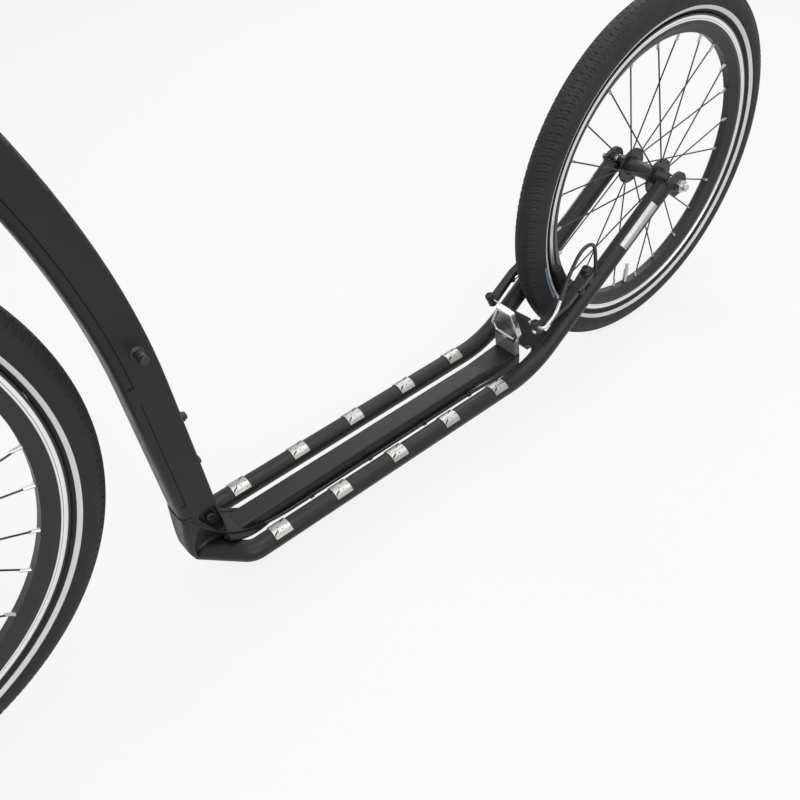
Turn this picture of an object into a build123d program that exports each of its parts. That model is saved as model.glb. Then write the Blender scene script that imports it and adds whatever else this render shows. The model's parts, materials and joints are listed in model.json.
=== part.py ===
from build123d import *
import math
import os
from typing import NamedTuple

# Footbike: a kick scooter for adults, with a low two-tube deck between a large
# front wheel and a smaller rear wheel.
# Millimetres and degrees. +X forward, +Y left, +Z up.
# The origin is in the middle of the deck, level with the tops of its tubes.

# Stance and clearances
deck_height = 80.0
seat_gap = 0.3
running_gap = 0.05
rear_tyre_clearance = 21.3
front_tyre_clearance = 31.0

# Wheels
rear_bead_radius = 203.0
rear_tyre_height = 44.0
rear_spoke_count = 24
rear_spoke_crosses = 0
rear_spoke_phase = 25.1
front_bead_radius = 279.5
front_tyre_height = 41.0
front_spoke_count = 32
front_spoke_crosses = 3
front_spoke_phase = 0.0
tyre_width = 38.0
tyre_profile_step = 36.0
rim_width = 24.0
rim_depth = 24.5
rim_nose_width = 10.0
rim_side_height = 13.0
rim_flange_height = 3.0
rim_flange_step = 1.0
valve_radius = 3.5
valve_tip_radius = 2.4
valve_length = 24.0
valve_tip_length = 9.0

# Hubs, axles and spokes
hub_over_locknut = 100.0
axle_radius = 5.0
axle_stub = 6.0
locknut_radius = 8.5
locknut_length = 7.0
axle_nut_radius = 9.0
axle_nut_length = 8.0
hub_end_gap = 0.8
hub_waist_radius = 10.5
hub_shell_radius = 13.0
hub_end_radius = 9.0
flange_radius = 25.0
flange_thickness = 3.0
flange_half_spacing = 22.5
spoke_radius = 1.0
spoke_edge = 2.6
spoke_flange_gap = 0.3
spoke_rim_offset = 2.0

# Deck tubes and rear stays, one bent tube a side
deck_tube_radius = 12.5
deck_half_spacing = 44.0
deck_front_corner_x = 211.0
deck_front_turn = 46.0
deck_front_bend = 20.0
deck_rear_corner_x = -236.0
deck_rear_bend = 130.0
stay_over_axle = 11.3
stay_heel_run = 22.6
stay_end_reach = 20.0

# Tread pads, one row along each deck tube
pad_count = 5
pad_pitch = 86.7
pad_length = 22.5
pad_thickness = 1.2
pad_wrap_angle = 104.0

# Centre beam, the bridge plate between the stays and the cap on the beam's end
beam_width = 28.6
beam_top_drop = 1.7
beam_flare_length = 60.0
beam_corner = 3.0
bridge_length = 34.0
bridge_thickness = 12.0
bridge_cutout_gap = 0.4
cap_x = -234.0
cap_lean = 5.5
cap_depth = 9.0
cap_base_width = 38.0
cap_base_height = 25.0
cap_shoulder_height = 13.0
cap_hex_height = 45.0
cap_hex_width = 50.0
cap_top_width = 27.0
cap_rim = 4.5
cap_recess = 2.0

# Main tube
main_width = 40.0
main_depth = 42.0
main_front_corner = 11.0
main_rear_corner = 4.0
main_reference_z = 70.0
main_reference_x = 247.2
main_lean = 2.93
main_straight_end_z = 240.0
main_join_height = 88.0
bottle_bolt_spacing = 64.0
bottle_bolt_radius = 2.5
bottle_lower_z = 115.0
bottle_hole_depth = 12.0
bottle_boss_radius = 5.0
bottle_boss_height = 1.5
port_z = 290.0
port_back = 4.0
port_plug_radius = 4.5
port_plug_length = 17.0
port_flange_radius = 7.0
port_flange_height = 1.5

# Foot: the nose under the main tube, a narrow core between the ends of the deck tubes and a tail under the beam
foot_seam_radius = 120.0
foot_seam_top_z = 99.0
foot_seam_inset = 7.0
foot_top_z = 62.0
foot_chin_z = 20.0
foot_front_overhang = 7.0
foot_nose_radius = 40.0
foot_nose_corner = 13.0
foot_chin_half_width = 14.0
foot_below_tubes = 1.0
foot_tail_x = 164.0
foot_tail_width = 26.0
foot_core_width = 12.0
foot_lip = 4.0
recess_back_x = 222.0
recess_front_x = 262.0
recess_knee_z = 14.0
recess_top_x = 250.0
recess_top_z = 42.0
pocket_top = (239.5, 56.0)
pocket_top_radius = 11.0
pocket_low = (231.0, 28.0)
pocket_low_radius = 6.0
pocket_depth = 10.0

# Steering geometry, head tube and headset
head_angle = 71.0
fork_rake = 45.0
axle_to_crown = 400.0
crown_race_height = 4.5
lower_cup_height = 10.0
head_tube_length = 150.0
upper_cup_height = 10.0
head_tube_radius = 23.0
head_tube_bore = 17.5
head_ring_length = 14.0
head_ring_wall = 1.6
cup_radius = 24.6
steerer_radius = 14.3

# Spacers and stem
spacer_height = 20.0
spacer_radius = 18.0
stem_height = 40.0
stem_wall = 4.5
stem_length = 80.0
stem_rise = 30.0
top_cap_height = 4.0

# Handlebar and grips
bar_radius = 11.1
bar_clamp_radius = 15.9
bar_clamp_width = 90.0
bar_flat_half = 60.0
bar_bend = 45.0
bar_rise = 62.0
bar_rise_run = 58.0
bar_rise_back = 12.0
bar_bare_length = 46.0
bar_backsweep = 10.0
bar_upsweep = 3.5
grip_length = 130.0
grip_radius = 16.0
grip_flange_radius = 18.5
grip_flange_length = 4.0

# Brake levers
lever_clamp_width = 14.0
lever_clamp_wall = 4.0
lever_gap_to_grip = 6.0
lever_dip = 31.5
lever_body_reach = 32.0
lever_body_radius = 8.0
lever_body_length = 30.0
lever_blade_length = 84.0
lever_hook_length = 20.0
lever_hook_reach = 12.0
lever_blade_width = 12.0
lever_blade_thickness = 6.0
lever_blade_bend = 25.0

# Fork
crown_height = 32.0
crown_radius = 22.0
crown_shoulder = 17.0
blade_half_spacing = 47.0
blade_top_radius = 15.0
blade_tip_radius = 9.5
blade_end_reach = 26.0
dropout_thickness = 6.0
dropout_radius = 17.0

# Rim brakes
brake_pivot_to_pad = 26.0
brake_arm_length = 102.0
brake_arm_thickness = 8.0
brake_pivot_half_spacing = 42.0
brake_bow = 7.0
brake_tip_half_spacing = 42.0
brake_eye_radius = 9.0
brake_mid_radius = 5.0
brake_tip_radius = 6.0
brake_post_cover = 2.5
brake_stud_radius = 4.0
brake_boss_radius = 8.0
brake_boss_reach = 40.0
brake_pad_length = 54.0
brake_pad_height = 11.0
brake_pad_thickness = 10.0
brake_pad_gap = 2.0
brake_pad_post = 3.0
rear_brake_angle = 24.9
front_brake_lead = 27.0

# Brake cables
pipe_radius = 2.5
pipe_inner_leg = 11.0
pipe_bend = 7.0
pipe_sweep = 18.0
wire_radius = 0.8
boot_radius = 4.2
boot_tip_radius = 2.0
boot_length = 34.0
housing_radius = 2.5
housing_lead_out = 22.0
lever_lead_out = 42.0

deck_axis_z = -deck_tube_radius
ground_z = -deck_height
beam_top = -beam_top_drop


class Wheel(NamedTuple):
    """One wheel's own sizes; the rest is shared."""
    name: str
    bead_radius: float
    tyre_height: float
    spoke_count: int
    crosses: int
    phase: float

    @property
    def radius(self):
        return self.bead_radius + self.tyre_height

    @property
    def axle_z(self):
        return ground_z + self.radius

    @property
    def rim_top(self):
        return self.bead_radius + rim_flange_height

    @property
    def rim_inner(self):
        return self.rim_top - rim_depth

    @property
    def brake_radius(self):
        return self.rim_top - rim_side_height / 2


rear = Wheel(
    "rear", rear_bead_radius, rear_tyre_height, rear_spoke_count, rear_spoke_crosses, rear_spoke_phase
)
front = Wheel(
    "front", front_bead_radius, front_tyre_height, front_spoke_count, front_spoke_crosses, front_spoke_phase
)

# The stays rise from the deck's rear corner, past the bridge plate and the tyre, to the rear axle
bridge_start = rear.radius + rear_tyre_clearance
stay_length = bridge_start + bridge_length + stay_heel_run
stay_rise = math.asin((rear.axle_z + stay_over_axle - deck_axis_z) / stay_length)
stay_dir = Vector(-math.cos(stay_rise), 0, math.sin(stay_rise))
stay_top = Vector(deck_rear_corner_x, 0, deck_axis_z) + stay_dir * stay_length
rear_axle = stay_top - Vector(0, 0, stay_over_axle)

# The main tube leans forward, and the front tyre clears it
lean = math.radians(main_lean)
main_dir = Vector(math.sin(lean), 0, math.cos(lean))
main_ahead = Vector(math.cos(lean), 0, -math.sin(lean))


def main_x(z):
    """Middle of the straight part of the main tube at a height."""
    return main_reference_x + (z - main_reference_z) * math.tan(lean)


front_axle = Vector(main_x(front.axle_z) + main_depth / 2 + front_tyre_clearance + front.radius, 0, front.axle_z)
axles = {"rear": rear_axle, "front": front_axle}

# Steering axis, measured from its point nearest to the front axle
steer_dir = Vector(-math.cos(math.radians(head_angle)), 0, math.sin(math.radians(head_angle)))
steer_ahead = Vector(steer_dir.Z, 0, -steer_dir.X)
steer_foot = front_axle - steer_ahead * fork_rake
crown_seat = math.sqrt(axle_to_crown**2 - fork_rake**2)
head_bottom = crown_seat + crown_race_height + seat_gap + lower_cup_height
head_top = head_bottom + head_tube_length
spacer_bottom = head_top + upper_cup_height + seat_gap
stem_bottom = spacer_bottom + spacer_height
stem_top = stem_bottom + stem_height
dropout_inner = hub_over_locknut / 2
dropout_outer = dropout_inner + dropout_thickness
axle_end = dropout_outer + axle_nut_length + axle_stub


def on_steer(height, ahead=0.0, left=0.0):
    """Point at a height along the steering axis, ahead of it and to its left."""
    return steer_foot + steer_dir * height + steer_ahead * ahead + Vector(0, left, 0)


def rod(start, end, radius, end_radius=None):
    """Round bar, or a cone, between two points."""
    span = Vector(end) - Vector(start)
    plane = Plane(origin=start, z_dir=span)
    upright = (Align.CENTER, Align.CENTER, Align.MIN)
    if end_radius is None:
        return plane * Cylinder(radius, span.length, align=upright)
    return plane * Cone(radius, end_radius, span.length, align=upright)


def tube(points, radii, radius):
    """Round bar along straight runs joined by arcs."""
    path = FilletPolyline(*points, radius=radii)
    section = Plane(origin=path @ 0, z_dir=path % 0) * Circle(radius)
    return sweep(section, path=path)


def cable(points, radius):
    """Round bar whose arcs are as large as their runs allow."""
    points = [Vector(point) for point in points]
    radii = []
    for before, here, after in zip(points, points[1:], points[2:]):
        turn = math.radians((here - before).get_angle(after - here))
        shorter = min((here - before).length, (after - here).length)
        radii.append(0.45 * shorter / math.tan(turn / 2))
    return tube(points, radii, radius)


def cross_bar(centre, radius, inner, outer):
    """Round bar across the bike, from one distance left of the middle to another."""
    return rod(centre + Vector(0, inner, 0), centre + Vector(0, outer, 0), radius)


def link(start, end, start_radius, end_radius):
    """Flat outline round two circles and the straight tangents between them."""
    a = Vector(*start)
    b = Vector(*end)
    span = b - a
    opening = math.acos((start_radius - end_radius) / span.length)
    heading = math.atan2(span.Y, span.X)
    corners = []
    ends = ((a, start_radius, 1), (b, end_radius, 1), (b, end_radius, -1), (a, start_radius, -1))
    for centre, radius, sign in ends:
        angle = heading + sign * opening
        corners.append((centre.X + radius * math.cos(angle), centre.Y + radius * math.sin(angle)))
    circles = Pos(a.X, a.Y) * Circle(start_radius) + Pos(b.X, b.Y) * Circle(end_radius)
    return circles + make_face(Polyline(*corners, close=True))


def largest(shape):
    """The main solid of a cut shape."""
    return shape.solids().sort_by(SortBy.VOLUME)[-1]


def mirrored(solid):
    """The same piece on the other side of the bike."""
    return mirror(solid, about=Plane.XZ)


def both(solid):
    """A piece and its twin on the other side, as one node."""
    return Compound(children=[*solid.solids(), *mirrored(solid).solids()])


nodes = {}
side_view = Plane.XZ
top_view = Plane.XY

# Foot: a rounded nose under a curved seam, on which main tube and beam stand
foot_bottom = 2 * deck_axis_z - foot_below_tubes
main_front = main_depth / 2
seam_centre = Vector(main_x(foot_seam_top_z) + main_front - foot_seam_inset - foot_seam_radius, foot_seam_top_z)
beam_bottom = foot_seam_top_z - foot_seam_radius
beam_height = beam_top - beam_bottom


def on_seam(x):
    """Point of the seam below its middle, seen from the side."""
    return (x, seam_centre.Y - math.sqrt(foot_seam_radius**2 - (x - seam_centre.X) ** 2))


def seam_arc(start_x):
    """The seam from a point below its middle up to the foot's top."""
    high_x = seam_centre.X + math.sqrt(foot_seam_radius**2 - (seam_centre.Y - foot_top_z) ** 2)
    return ThreePointArc(on_seam(start_x), on_seam((start_x + high_x) / 2), (high_x, foot_top_z))


foot_front_x = main_x(0) + main_front + foot_front_overhang
foot_arc = seam_arc(foot_tail_x)
foot_side = make_face(Curve() + [
    foot_arc,
    Polyline(
        foot_arc @ 1,
        (main_x(foot_top_z) + main_front, foot_top_z),
        (foot_front_x, foot_chin_z),
        (foot_front_x, foot_bottom),
        (foot_tail_x, foot_bottom),
        foot_arc @ 0,
    ),
])
nose_edge = foot_side.vertices().sort_by_distance((foot_front_x, foot_bottom))[0]
foot_side = fillet(nose_edge, foot_nose_radius)
nose_plan = Rectangle(foot_front_x - recess_back_x, main_width, align=(Align.MIN, Align.CENTER))
nose_plan = fillet(nose_plan.vertices().group_by(Axis.X)[-1], foot_nose_corner)
foot_plan = Pos(recess_back_x, 0) * nose_plan
foot_plan += Pos(recess_front_x, 0) * Rectangle(main_depth * 4, foot_tail_width, align=(Align.MAX, Align.CENTER))
front_view = Plane(origin=(0, 0, 0), x_dir=(0, 1, 0), z_dir=(1, 0, 0))
foot_front = link((0, foot_top_z), (0, foot_bottom + foot_chin_half_width), main_width / 2, foot_chin_half_width)
foot = extrude(side_view * foot_side, amount=main_width, both=True)
foot = foot & extrude(top_view * foot_plan, amount=2 * foot_seam_top_z, both=True)
foot = foot & extrude(front_view * foot_front, amount=2 * foot_front_x)
recess = make_face(Polyline(
    (recess_top_x, recess_top_z),
    (recess_front_x, recess_knee_z),
    (recess_front_x, 2 * foot_bottom),
    (recess_back_x, 2 * foot_bottom),
    (recess_back_x, recess_top_z),
    close=True,
))
recess = recess - Pos(seam_centre.X, seam_centre.Y) * Circle(foot_seam_radius + foot_lip)
recess = extrude(side_view * recess, amount=main_width / 2, both=True)
for sign in (1, -1):
    foot = foot - Pos(0, sign * (foot_core_width + main_width) / 2, 0) * recess
foot = largest(foot)
nodes["foot_joint"] = foot

# Main tube: flat-sided, straight over the foot and then curving forward into the head tube
straight_top = Vector(main_x(main_straight_end_z), 0, main_straight_end_z)
meeting = on_steer(head_bottom + main_join_height)
to_meeting = meeting - straight_top
main_bend = to_meeting.length**2 / (2 * to_meeting.dot(main_ahead))
bend_centre = straight_top + main_ahead * main_bend
bend_turn = 2 * math.degrees(math.asin(to_meeting.length / (2 * main_bend)))
main_plane = Plane(origin=straight_top, x_dir=main_ahead, z_dir=main_dir)
main_outline = Rectangle(main_depth, main_width)
main_outline = fillet(main_outline.vertices().group_by(Axis.X)[-1], main_front_corner)
main_outline = fillet(main_outline.vertices().group_by(Axis.X)[0], main_rear_corner)
main_section = main_plane * main_outline
straight_length = (main_straight_end_z - foot_bottom) / math.cos(lean)
main_tube = extrude(main_section, amount=-straight_length)
main_tube += revolve(main_section, Axis(bend_centre, (0, 1, 0)), bend_turn)
main_tube = main_tube - rod(on_steer(head_bottom), on_steer(head_top), head_tube_radius)
whole_arc = seam_arc(seam_centre.X)
under_seam = make_face(Curve() + [
    whole_arc,
    Polyline(
        whole_arc @ 1,
        (2 * foot_front_x, foot_top_z),
        (2 * foot_front_x, 2 * foot_bottom),
        (seam_centre.X, 2 * foot_bottom),
        whole_arc @ 0,
    ),
])
under_seam = extrude(side_view * under_seam, amount=main_width, both=True)
main_tube = largest(main_tube - under_seam)
bottle_plane_x = main_x(bottle_lower_z) - main_depth / 2 - bottle_boss_height
for bolt in range(2):
    mouth = Vector(bottle_plane_x, 0, bottle_lower_z + bolt * bottle_bolt_spacing)
    hole_end = mouth + Vector(bottle_hole_depth, 0, 0)
    main_tube += rod(mouth, hole_end, bottle_boss_radius)
    main_tube = main_tube - rod(mouth, hole_end, bottle_bolt_radius)
pocket_outline = link(pocket_top, pocket_low, pocket_top_radius, pocket_low_radius)
pocket = extrude(side_view * pocket_outline, amount=pocket_depth, both=True)
for sign in (1, -1):
    main_tube = main_tube - Pos(0, sign * main_width / 2, 0) * pocket
nodes["main_tube"] = main_tube

port_base = Vector(main_x(port_z) - port_back, main_width / 2, port_z)
port = rod(port_base, port_base + Vector(0, port_plug_length, 0), port_plug_radius)
port += rod(port_base, port_base + Vector(0, port_flange_height, 0), port_flange_radius)
nodes["cable_port"] = port

# Head tube with its end rings, and the headset cups
head = rod(on_steer(head_bottom), on_steer(head_top), head_tube_radius)
for low in (head_bottom, head_top - head_ring_length):
    head += rod(on_steer(low), on_steer(low + head_ring_length), head_tube_radius + head_ring_wall)
head = head - rod(on_steer(head_bottom), on_steer(head_top), head_tube_bore)
nodes["head_tube"] = head
for name, low, high in (
    ("lower_headset_cup", head_bottom - lower_cup_height, head_bottom),
    ("upper_headset_cup", head_top, head_top + upper_cup_height),
):
    cup = rod(on_steer(low), on_steer(high), cup_radius)
    nodes[name] = cup - rod(on_steer(low), on_steer(high), steerer_radius + running_gap)

# Deck tubes: in from the foot, back along the deck and up the stays to the rear axle
stay_end = stay_top - stay_dir * stay_end_reach
past_middle = deck_half_spacing + deck_tube_radius
deck_front_x = deck_front_corner_x + past_middle / math.tan(math.radians(deck_front_turn))
deck_points = [
    (deck_front_x, -deck_tube_radius, deck_axis_z),
    (deck_front_corner_x, deck_half_spacing, deck_axis_z),
    (deck_rear_corner_x, deck_half_spacing, deck_axis_z),
    (stay_end.X, deck_half_spacing, stay_end.Z),
]
deck_tube = tube(deck_points, [deck_front_bend, deck_rear_bend], deck_tube_radius)
foot_side_plane = Plane(origin=(0, foot_core_width / 2, 0), z_dir=(0, 1, 0))
deck_tube = largest(split(deck_tube, bisect_by=foot_side_plane, keep=Keep.TOP) - foot)
nodes["deck_tube_left"] = deck_tube
nodes["deck_tube_right"] = mirrored(deck_tube)

# Tread pads wrapped over the deck tubes
pads = []
for index in range(pad_count):
    pad_x = (index - (pad_count - 1) / 2) * pad_pitch
    start = (pad_x - pad_length / 2, deck_half_spacing, deck_axis_z)
    end = (pad_x + pad_length / 2, deck_half_spacing, deck_axis_z)
    shell = rod(start, end, deck_tube_radius + pad_thickness) - rod(start, end, deck_tube_radius)
    cut_z = deck_axis_z + deck_tube_radius * math.cos(math.radians(pad_wrap_angle / 2))
    keep = Pos(pad_x, deck_half_spacing, cut_z) * Box(
        pad_length, 4 * deck_tube_radius, 2 * deck_tube_radius, align=(Align.CENTER, Align.CENTER, Align.MIN)
    )
    pads.append(largest(shell & keep))
nodes["tread_pads_left"] = Compound(children=pads)
nodes["tread_pads_right"] = Compound(children=[largest(mirrored(pad)) for pad in pads])

# Bridge plate between the stays, with round-ended gaps beside the beam
bridge_plane = Plane(origin=stay_top, x_dir=-stay_dir, z_dir=Vector(stay_dir.Z, 0, -stay_dir.X))
bridge_plate = bridge_plane * Pos(bridge_start, 0, 0) * Box(
    bridge_length, 2 * deck_half_spacing, bridge_thickness, align=(Align.MIN, Align.CENTER, Align.CENTER)
)
gap_inner = cap_base_width / 2
gap_outer = deck_half_spacing - deck_tube_radius
cutout_radius = (gap_outer - gap_inner) / 2 - bridge_cutout_gap
for sign in (1, -1):
    gap_middle = bridge_plane * Pos(bridge_start + bridge_length, sign * (gap_inner + gap_outer) / 2, 0)
    bridge_plate = bridge_plate - gap_middle * Cylinder(cutout_radius, 2 * bridge_thickness)
bridge_plate = largest(bridge_plate - deck_tube - mirrored(deck_tube))
nodes["bridge_plate"] = bridge_plate

# Centre beam, from the foot's seam back under the cap to the bridge plate, flared to the cap's width
beam_front_x = main_x(beam_top)
beam_rear_x = cap_x - cap_depth
flare_x = cap_x + beam_flare_length
beam_plane = Plane(origin=(0, 0, (beam_top + beam_bottom) / 2), x_dir=(0, 1, 0), z_dir=(1, 0, 0))
beam_section = beam_plane * RectangleRounded(beam_width, beam_height, beam_corner)
flare_section = beam_plane * RectangleRounded(cap_base_width, beam_height, beam_corner)
beam = extrude(Pos(flare_x, 0, 0) * beam_section, amount=beam_front_x - flare_x)
beam += loft([Pos(flare_x, 0, 0) * beam_section, Pos(cap_x, 0, 0) * flare_section], ruled=True)
beam += extrude(Pos(cap_x, 0, 0) * flare_section, amount=beam_rear_x - cap_x)
beam = largest(beam - under_seam - bridge_plate)
nodes["centre_beam"] = beam

# Faceted cap that stands on the beam's end, with a sunk face
half_base = cap_base_width / 2
half_hex = cap_hex_width / 2
half_top = cap_top_width / 2
cap_top = cap_base_height + cap_hex_height
cap_plane = Plane(
    origin=(cap_x, 0, beam_top),
    x_dir=(0, 1, 0),
    z_dir=(math.cos(math.radians(cap_lean)), 0, -math.sin(math.radians(cap_lean))),
)
cap_right = [
    (half_base, 0),
    (half_base, cap_base_height),
    (half_hex, cap_base_height + cap_shoulder_height),
    (half_top, cap_top),
]
cap_left = [(-across, up) for across, up in reversed(cap_right)]
cap = extrude(cap_plane * make_face(Polyline(*cap_right, *cap_left, close=True)), amount=-cap_depth, both=True)
face_right = [
    (half_base, cap_base_height),
    (half_hex, cap_base_height + cap_shoulder_height),
    (half_top, cap_top),
]
face_left = [(-across, up) for across, up in reversed(face_right)]
sunk_face = offset(make_face(Polyline(*face_right, *face_left, close=True)), amount=-cap_rim)
over_beam = Pos(cap_x, 0, beam_top) * Box(
    8 * cap_depth, 2 * cap_hex_width, 2 * cap_top, align=(Align.CENTER, Align.CENTER, Align.MIN)
)
behind_front = cap_plane * Box(
    2 * cap_hex_width, 4 * cap_top, 2 * cap_depth, align=(Align.CENTER, Align.CENTER, Align.MAX)
)
cap = largest((cap & over_beam) & behind_front)
cap = cap - extrude(cap_plane * sunk_face, amount=-cap_recess)
nodes["beam_end_cap"] = cap

# Dropouts: plates on the tubes' ends that hold the axles
dropout_plane = Plane(origin=(0, dropout_inner, 0), x_dir=(1, 0, 0), z_dir=(0, -1, 0))


def dropout(axle_at, tube_end, tube_dir, end_radius):
    """Plate from the axle to the end of the tube that carries it."""
    eye = (axle_at.X, axle_at.Z)
    outline = link(eye, (tube_end.X, tube_end.Z), dropout_radius, end_radius)
    plate = extrude(dropout_plane * outline, amount=-dropout_thickness)
    plate = split(plate, bisect_by=Plane(origin=tube_end, z_dir=tube_dir), keep=Keep.TOP)
    return plate - cross_bar(axle_at, axle_radius + running_gap, 0, axle_end)


rear_dropout = dropout(rear_axle, stay_end, stay_dir, deck_tube_radius)
nodes["rear_dropout_left"] = rear_dropout
nodes["rear_dropout_right"] = mirrored(rear_dropout)


def axle(at):
    """Axle with lock nuts inside the dropouts and wheel nuts outside them."""
    bar = cross_bar(at, axle_radius, -axle_end, axle_end)
    for sign in (1, -1):
        bar += cross_bar(at, locknut_radius, sign * (dropout_inner - locknut_length), sign * dropout_inner)
        nut_plane = Plane(origin=at + Vector(0, sign * dropout_outer, 0), z_dir=(0, sign, 0))
        bar += extrude(nut_plane * RegularPolygon(axle_nut_radius, 6), amount=axle_nut_length)
    return bar


def rim(wheel):
    """Deep rim with flat brake tracks and a small flange at the tyre."""
    side_end = wheel.rim_top - rim_side_height
    half = [
        (wheel.rim_inner, rim_nose_width / 2),
        (side_end, rim_width / 2),
        (wheel.bead_radius, rim_width / 2),
        (wheel.bead_radius, rim_width / 2 + rim_flange_step),
        (wheel.rim_top, rim_width / 2 + rim_flange_step),
    ]
    other_half = [(radius, -y) for radius, y in reversed(half)]
    return revolve(make_face(Polyline(*half, *other_half, close=True)), Axis.Y)


def tyre(wheel):
    """Tyre of a rounded section, in facets that follow an ellipse."""
    seat = wheel.rim_top + seat_gap
    last = 4 * tyre_profile_step
    half_height = (wheel.radius - seat) / (1 - math.cos(math.radians(last)))
    half_width = tyre_width / 2 / math.sin(math.radians(2 * tyre_profile_step))
    points = []
    for step in range(-4, 5):
        angle = math.radians(step * tyre_profile_step)
        radius = wheel.radius - half_height * (1 - math.cos(angle))
        points.append((radius, half_width * math.sin(angle)))
    return revolve(make_face(Polyline(*points, close=True)), Axis.Y)


def hub():
    """Waisted hub shell with two spoke flanges, bored for the axle."""
    hub_half = dropout_inner - locknut_length - hub_end_gap
    bore = axle_radius + running_gap
    flange_in = flange_half_spacing - flange_thickness / 2
    flange_out = flange_half_spacing + flange_thickness / 2
    side = [
        (hub_shell_radius, flange_in),
        (flange_radius, flange_in),
        (flange_radius, flange_out),
        (hub_shell_radius, flange_out),
        (hub_end_radius, hub_half),
        (bore, hub_half),
    ]
    other_side = [(radius, -y) for radius, y in reversed(side)]
    waist = ThreePointArc((hub_shell_radius, -flange_in), (hub_waist_radius, 0), (hub_shell_radius, flange_in))
    return revolve(make_face(Curve() + [Polyline(*side, *other_side), waist]), Axis.Y)


def spokes(wheel):
    """Crossed spokes, on the outer and inner face of each flange in turn."""
    hole_radius = flange_radius - spoke_edge
    lay = flange_thickness / 2 + spoke_radius + spoke_flange_gap
    crossing = math.radians(720.0 * wheel.crosses / wheel.spoke_count)
    tip = wheel.rim_inner - seat_gap
    # A spoke on the outer face leans in towards the rim, and clears the flange's edge
    toward_rim = tip * math.cos(crossing) - hole_radius
    run = math.hypot(toward_rim, tip * math.sin(crossing))
    outward = hole_radius * toward_rim / run
    on_flange = math.sqrt(outward**2 + flange_radius**2 - hole_radius**2) - outward
    lean_in = on_flange * (flange_half_spacing + lay - spoke_rim_offset) / run
    bars = []
    for index in range(wheel.spoke_count):
        side = 1 if index % 2 == 0 else -1
        leading = 1 if index % 4 < 2 else -1
        rim_angle = math.radians(wheel.phase + 360.0 * index / wheel.spoke_count)
        hub_angle = rim_angle + leading * crossing
        hub_y = side * (flange_half_spacing + (lay + lean_in if leading > 0 else -lay))
        start = (hole_radius * math.cos(hub_angle), hub_y, hole_radius * math.sin(hub_angle))
        end = (tip * math.cos(rim_angle), side * spoke_rim_offset, tip * math.sin(rim_angle))
        bars.append(rod(start, end, spoke_radius).solids()[0])
    return Compound(children=bars)


def valve(wheel):
    """Valve stem on the rim's inner side, midway between two spokes near the ground."""
    pitch = 360.0 / wheel.spoke_count
    turn = wheel.phase + pitch * (math.floor((-90.0 - wheel.phase) / pitch) + 0.5)
    inward = Vector(-math.cos(math.radians(turn)), 0, -math.sin(math.radians(turn)))
    foot_at = inward * -(wheel.rim_inner - seat_gap)
    shoulder = foot_at + inward * valve_length
    tip = shoulder + inward * valve_tip_length
    return rod(foot_at, shoulder, valve_radius) + rod(shoulder, tip, valve_tip_radius)


for wheel in (rear, front):
    place = Pos(axles[wheel.name])
    nodes[f"{wheel.name}_axle"] = axle(axles[wheel.name])
    nodes[f"{wheel.name}_rim"] = place * rim(wheel)
    nodes[f"{wheel.name}_tyre"] = place * tyre(wheel)
    nodes[f"{wheel.name}_hub"] = place * hub()
    nodes[f"{wheel.name}_spokes"] = place * spokes(wheel)
    nodes[f"{wheel.name}_valve"] = place * valve(wheel)

# Fork: steerer, crown and two tapered blades with dropouts
steerer = rod(on_steer(crown_seat), on_steer(stem_top), steerer_radius)
nodes["steerer"] = steerer + rod(on_steer(crown_seat), on_steer(crown_seat + crown_race_height), cup_radius)
crown_plane = Plane(origin=on_steer(crown_seat), x_dir=steer_ahead, z_dir=steer_dir)
crown_sketch = link((0, -blade_half_spacing), (0, 0), crown_shoulder, crown_radius)
crown_sketch += link((0, 0), (0, blade_half_spacing), crown_radius, crown_shoulder)
nodes["fork_crown"] = extrude(crown_plane * crown_sketch, amount=-crown_height)

blade_line = (on_steer(crown_seat) - front_axle).normalized()
blade_top = on_steer(crown_seat, 0, blade_half_spacing)
blade_y = (dropout_inner + dropout_outer) / 2
blade_bottom = front_axle + Vector(0, blade_y, 0) + blade_line * blade_end_reach
crown_bottom = Plane(origin=on_steer(crown_seat - crown_height), z_dir=steer_dir)
blade_dir = (blade_bottom - blade_top).normalized()
blade = rod(blade_top, blade_bottom, blade_top_radius, blade_tip_radius)
blade = split(blade, bisect_by=crown_bottom, keep=Keep.BOTTOM)
nodes["fork_blade_left"] = blade
nodes["fork_blade_right"] = mirrored(blade)
fork_dropout = dropout(front_axle, blade_bottom, blade_dir, blade_tip_radius)
nodes["fork_dropout_left"] = fork_dropout
nodes["fork_dropout_right"] = mirrored(fork_dropout)

# Spacers, stem and handlebar
spacer = rod(on_steer(spacer_bottom), on_steer(stem_bottom), spacer_radius)
spacer = spacer - rod(on_steer(spacer_bottom), on_steer(stem_bottom), steerer_radius + running_gap)
nodes["headset_spacers"] = spacer
stem_middle = on_steer((stem_bottom + stem_top) / 2)
stem_dir = Vector(math.cos(math.radians(stem_rise)), 0, math.sin(math.radians(stem_rise)))
bar_centre = stem_middle + stem_dir * stem_length
stem = rod(on_steer(stem_bottom), on_steer(stem_top), steerer_radius + stem_wall)
stem += rod(stem_middle, bar_centre, steerer_radius, bar_clamp_radius)
stem += cross_bar(bar_centre, bar_clamp_radius + stem_wall, -stem_height / 2, stem_height / 2)
stem = stem - rod(on_steer(stem_bottom), on_steer(stem_top), steerer_radius + running_gap)
stem = stem - cross_bar(bar_centre, bar_clamp_radius + running_gap, -stem_height, stem_height)
nodes["stem"] = stem
nodes["stem_top_cap"] = rod(on_steer(stem_top), on_steer(stem_top + top_cap_height), spacer_radius)

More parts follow.
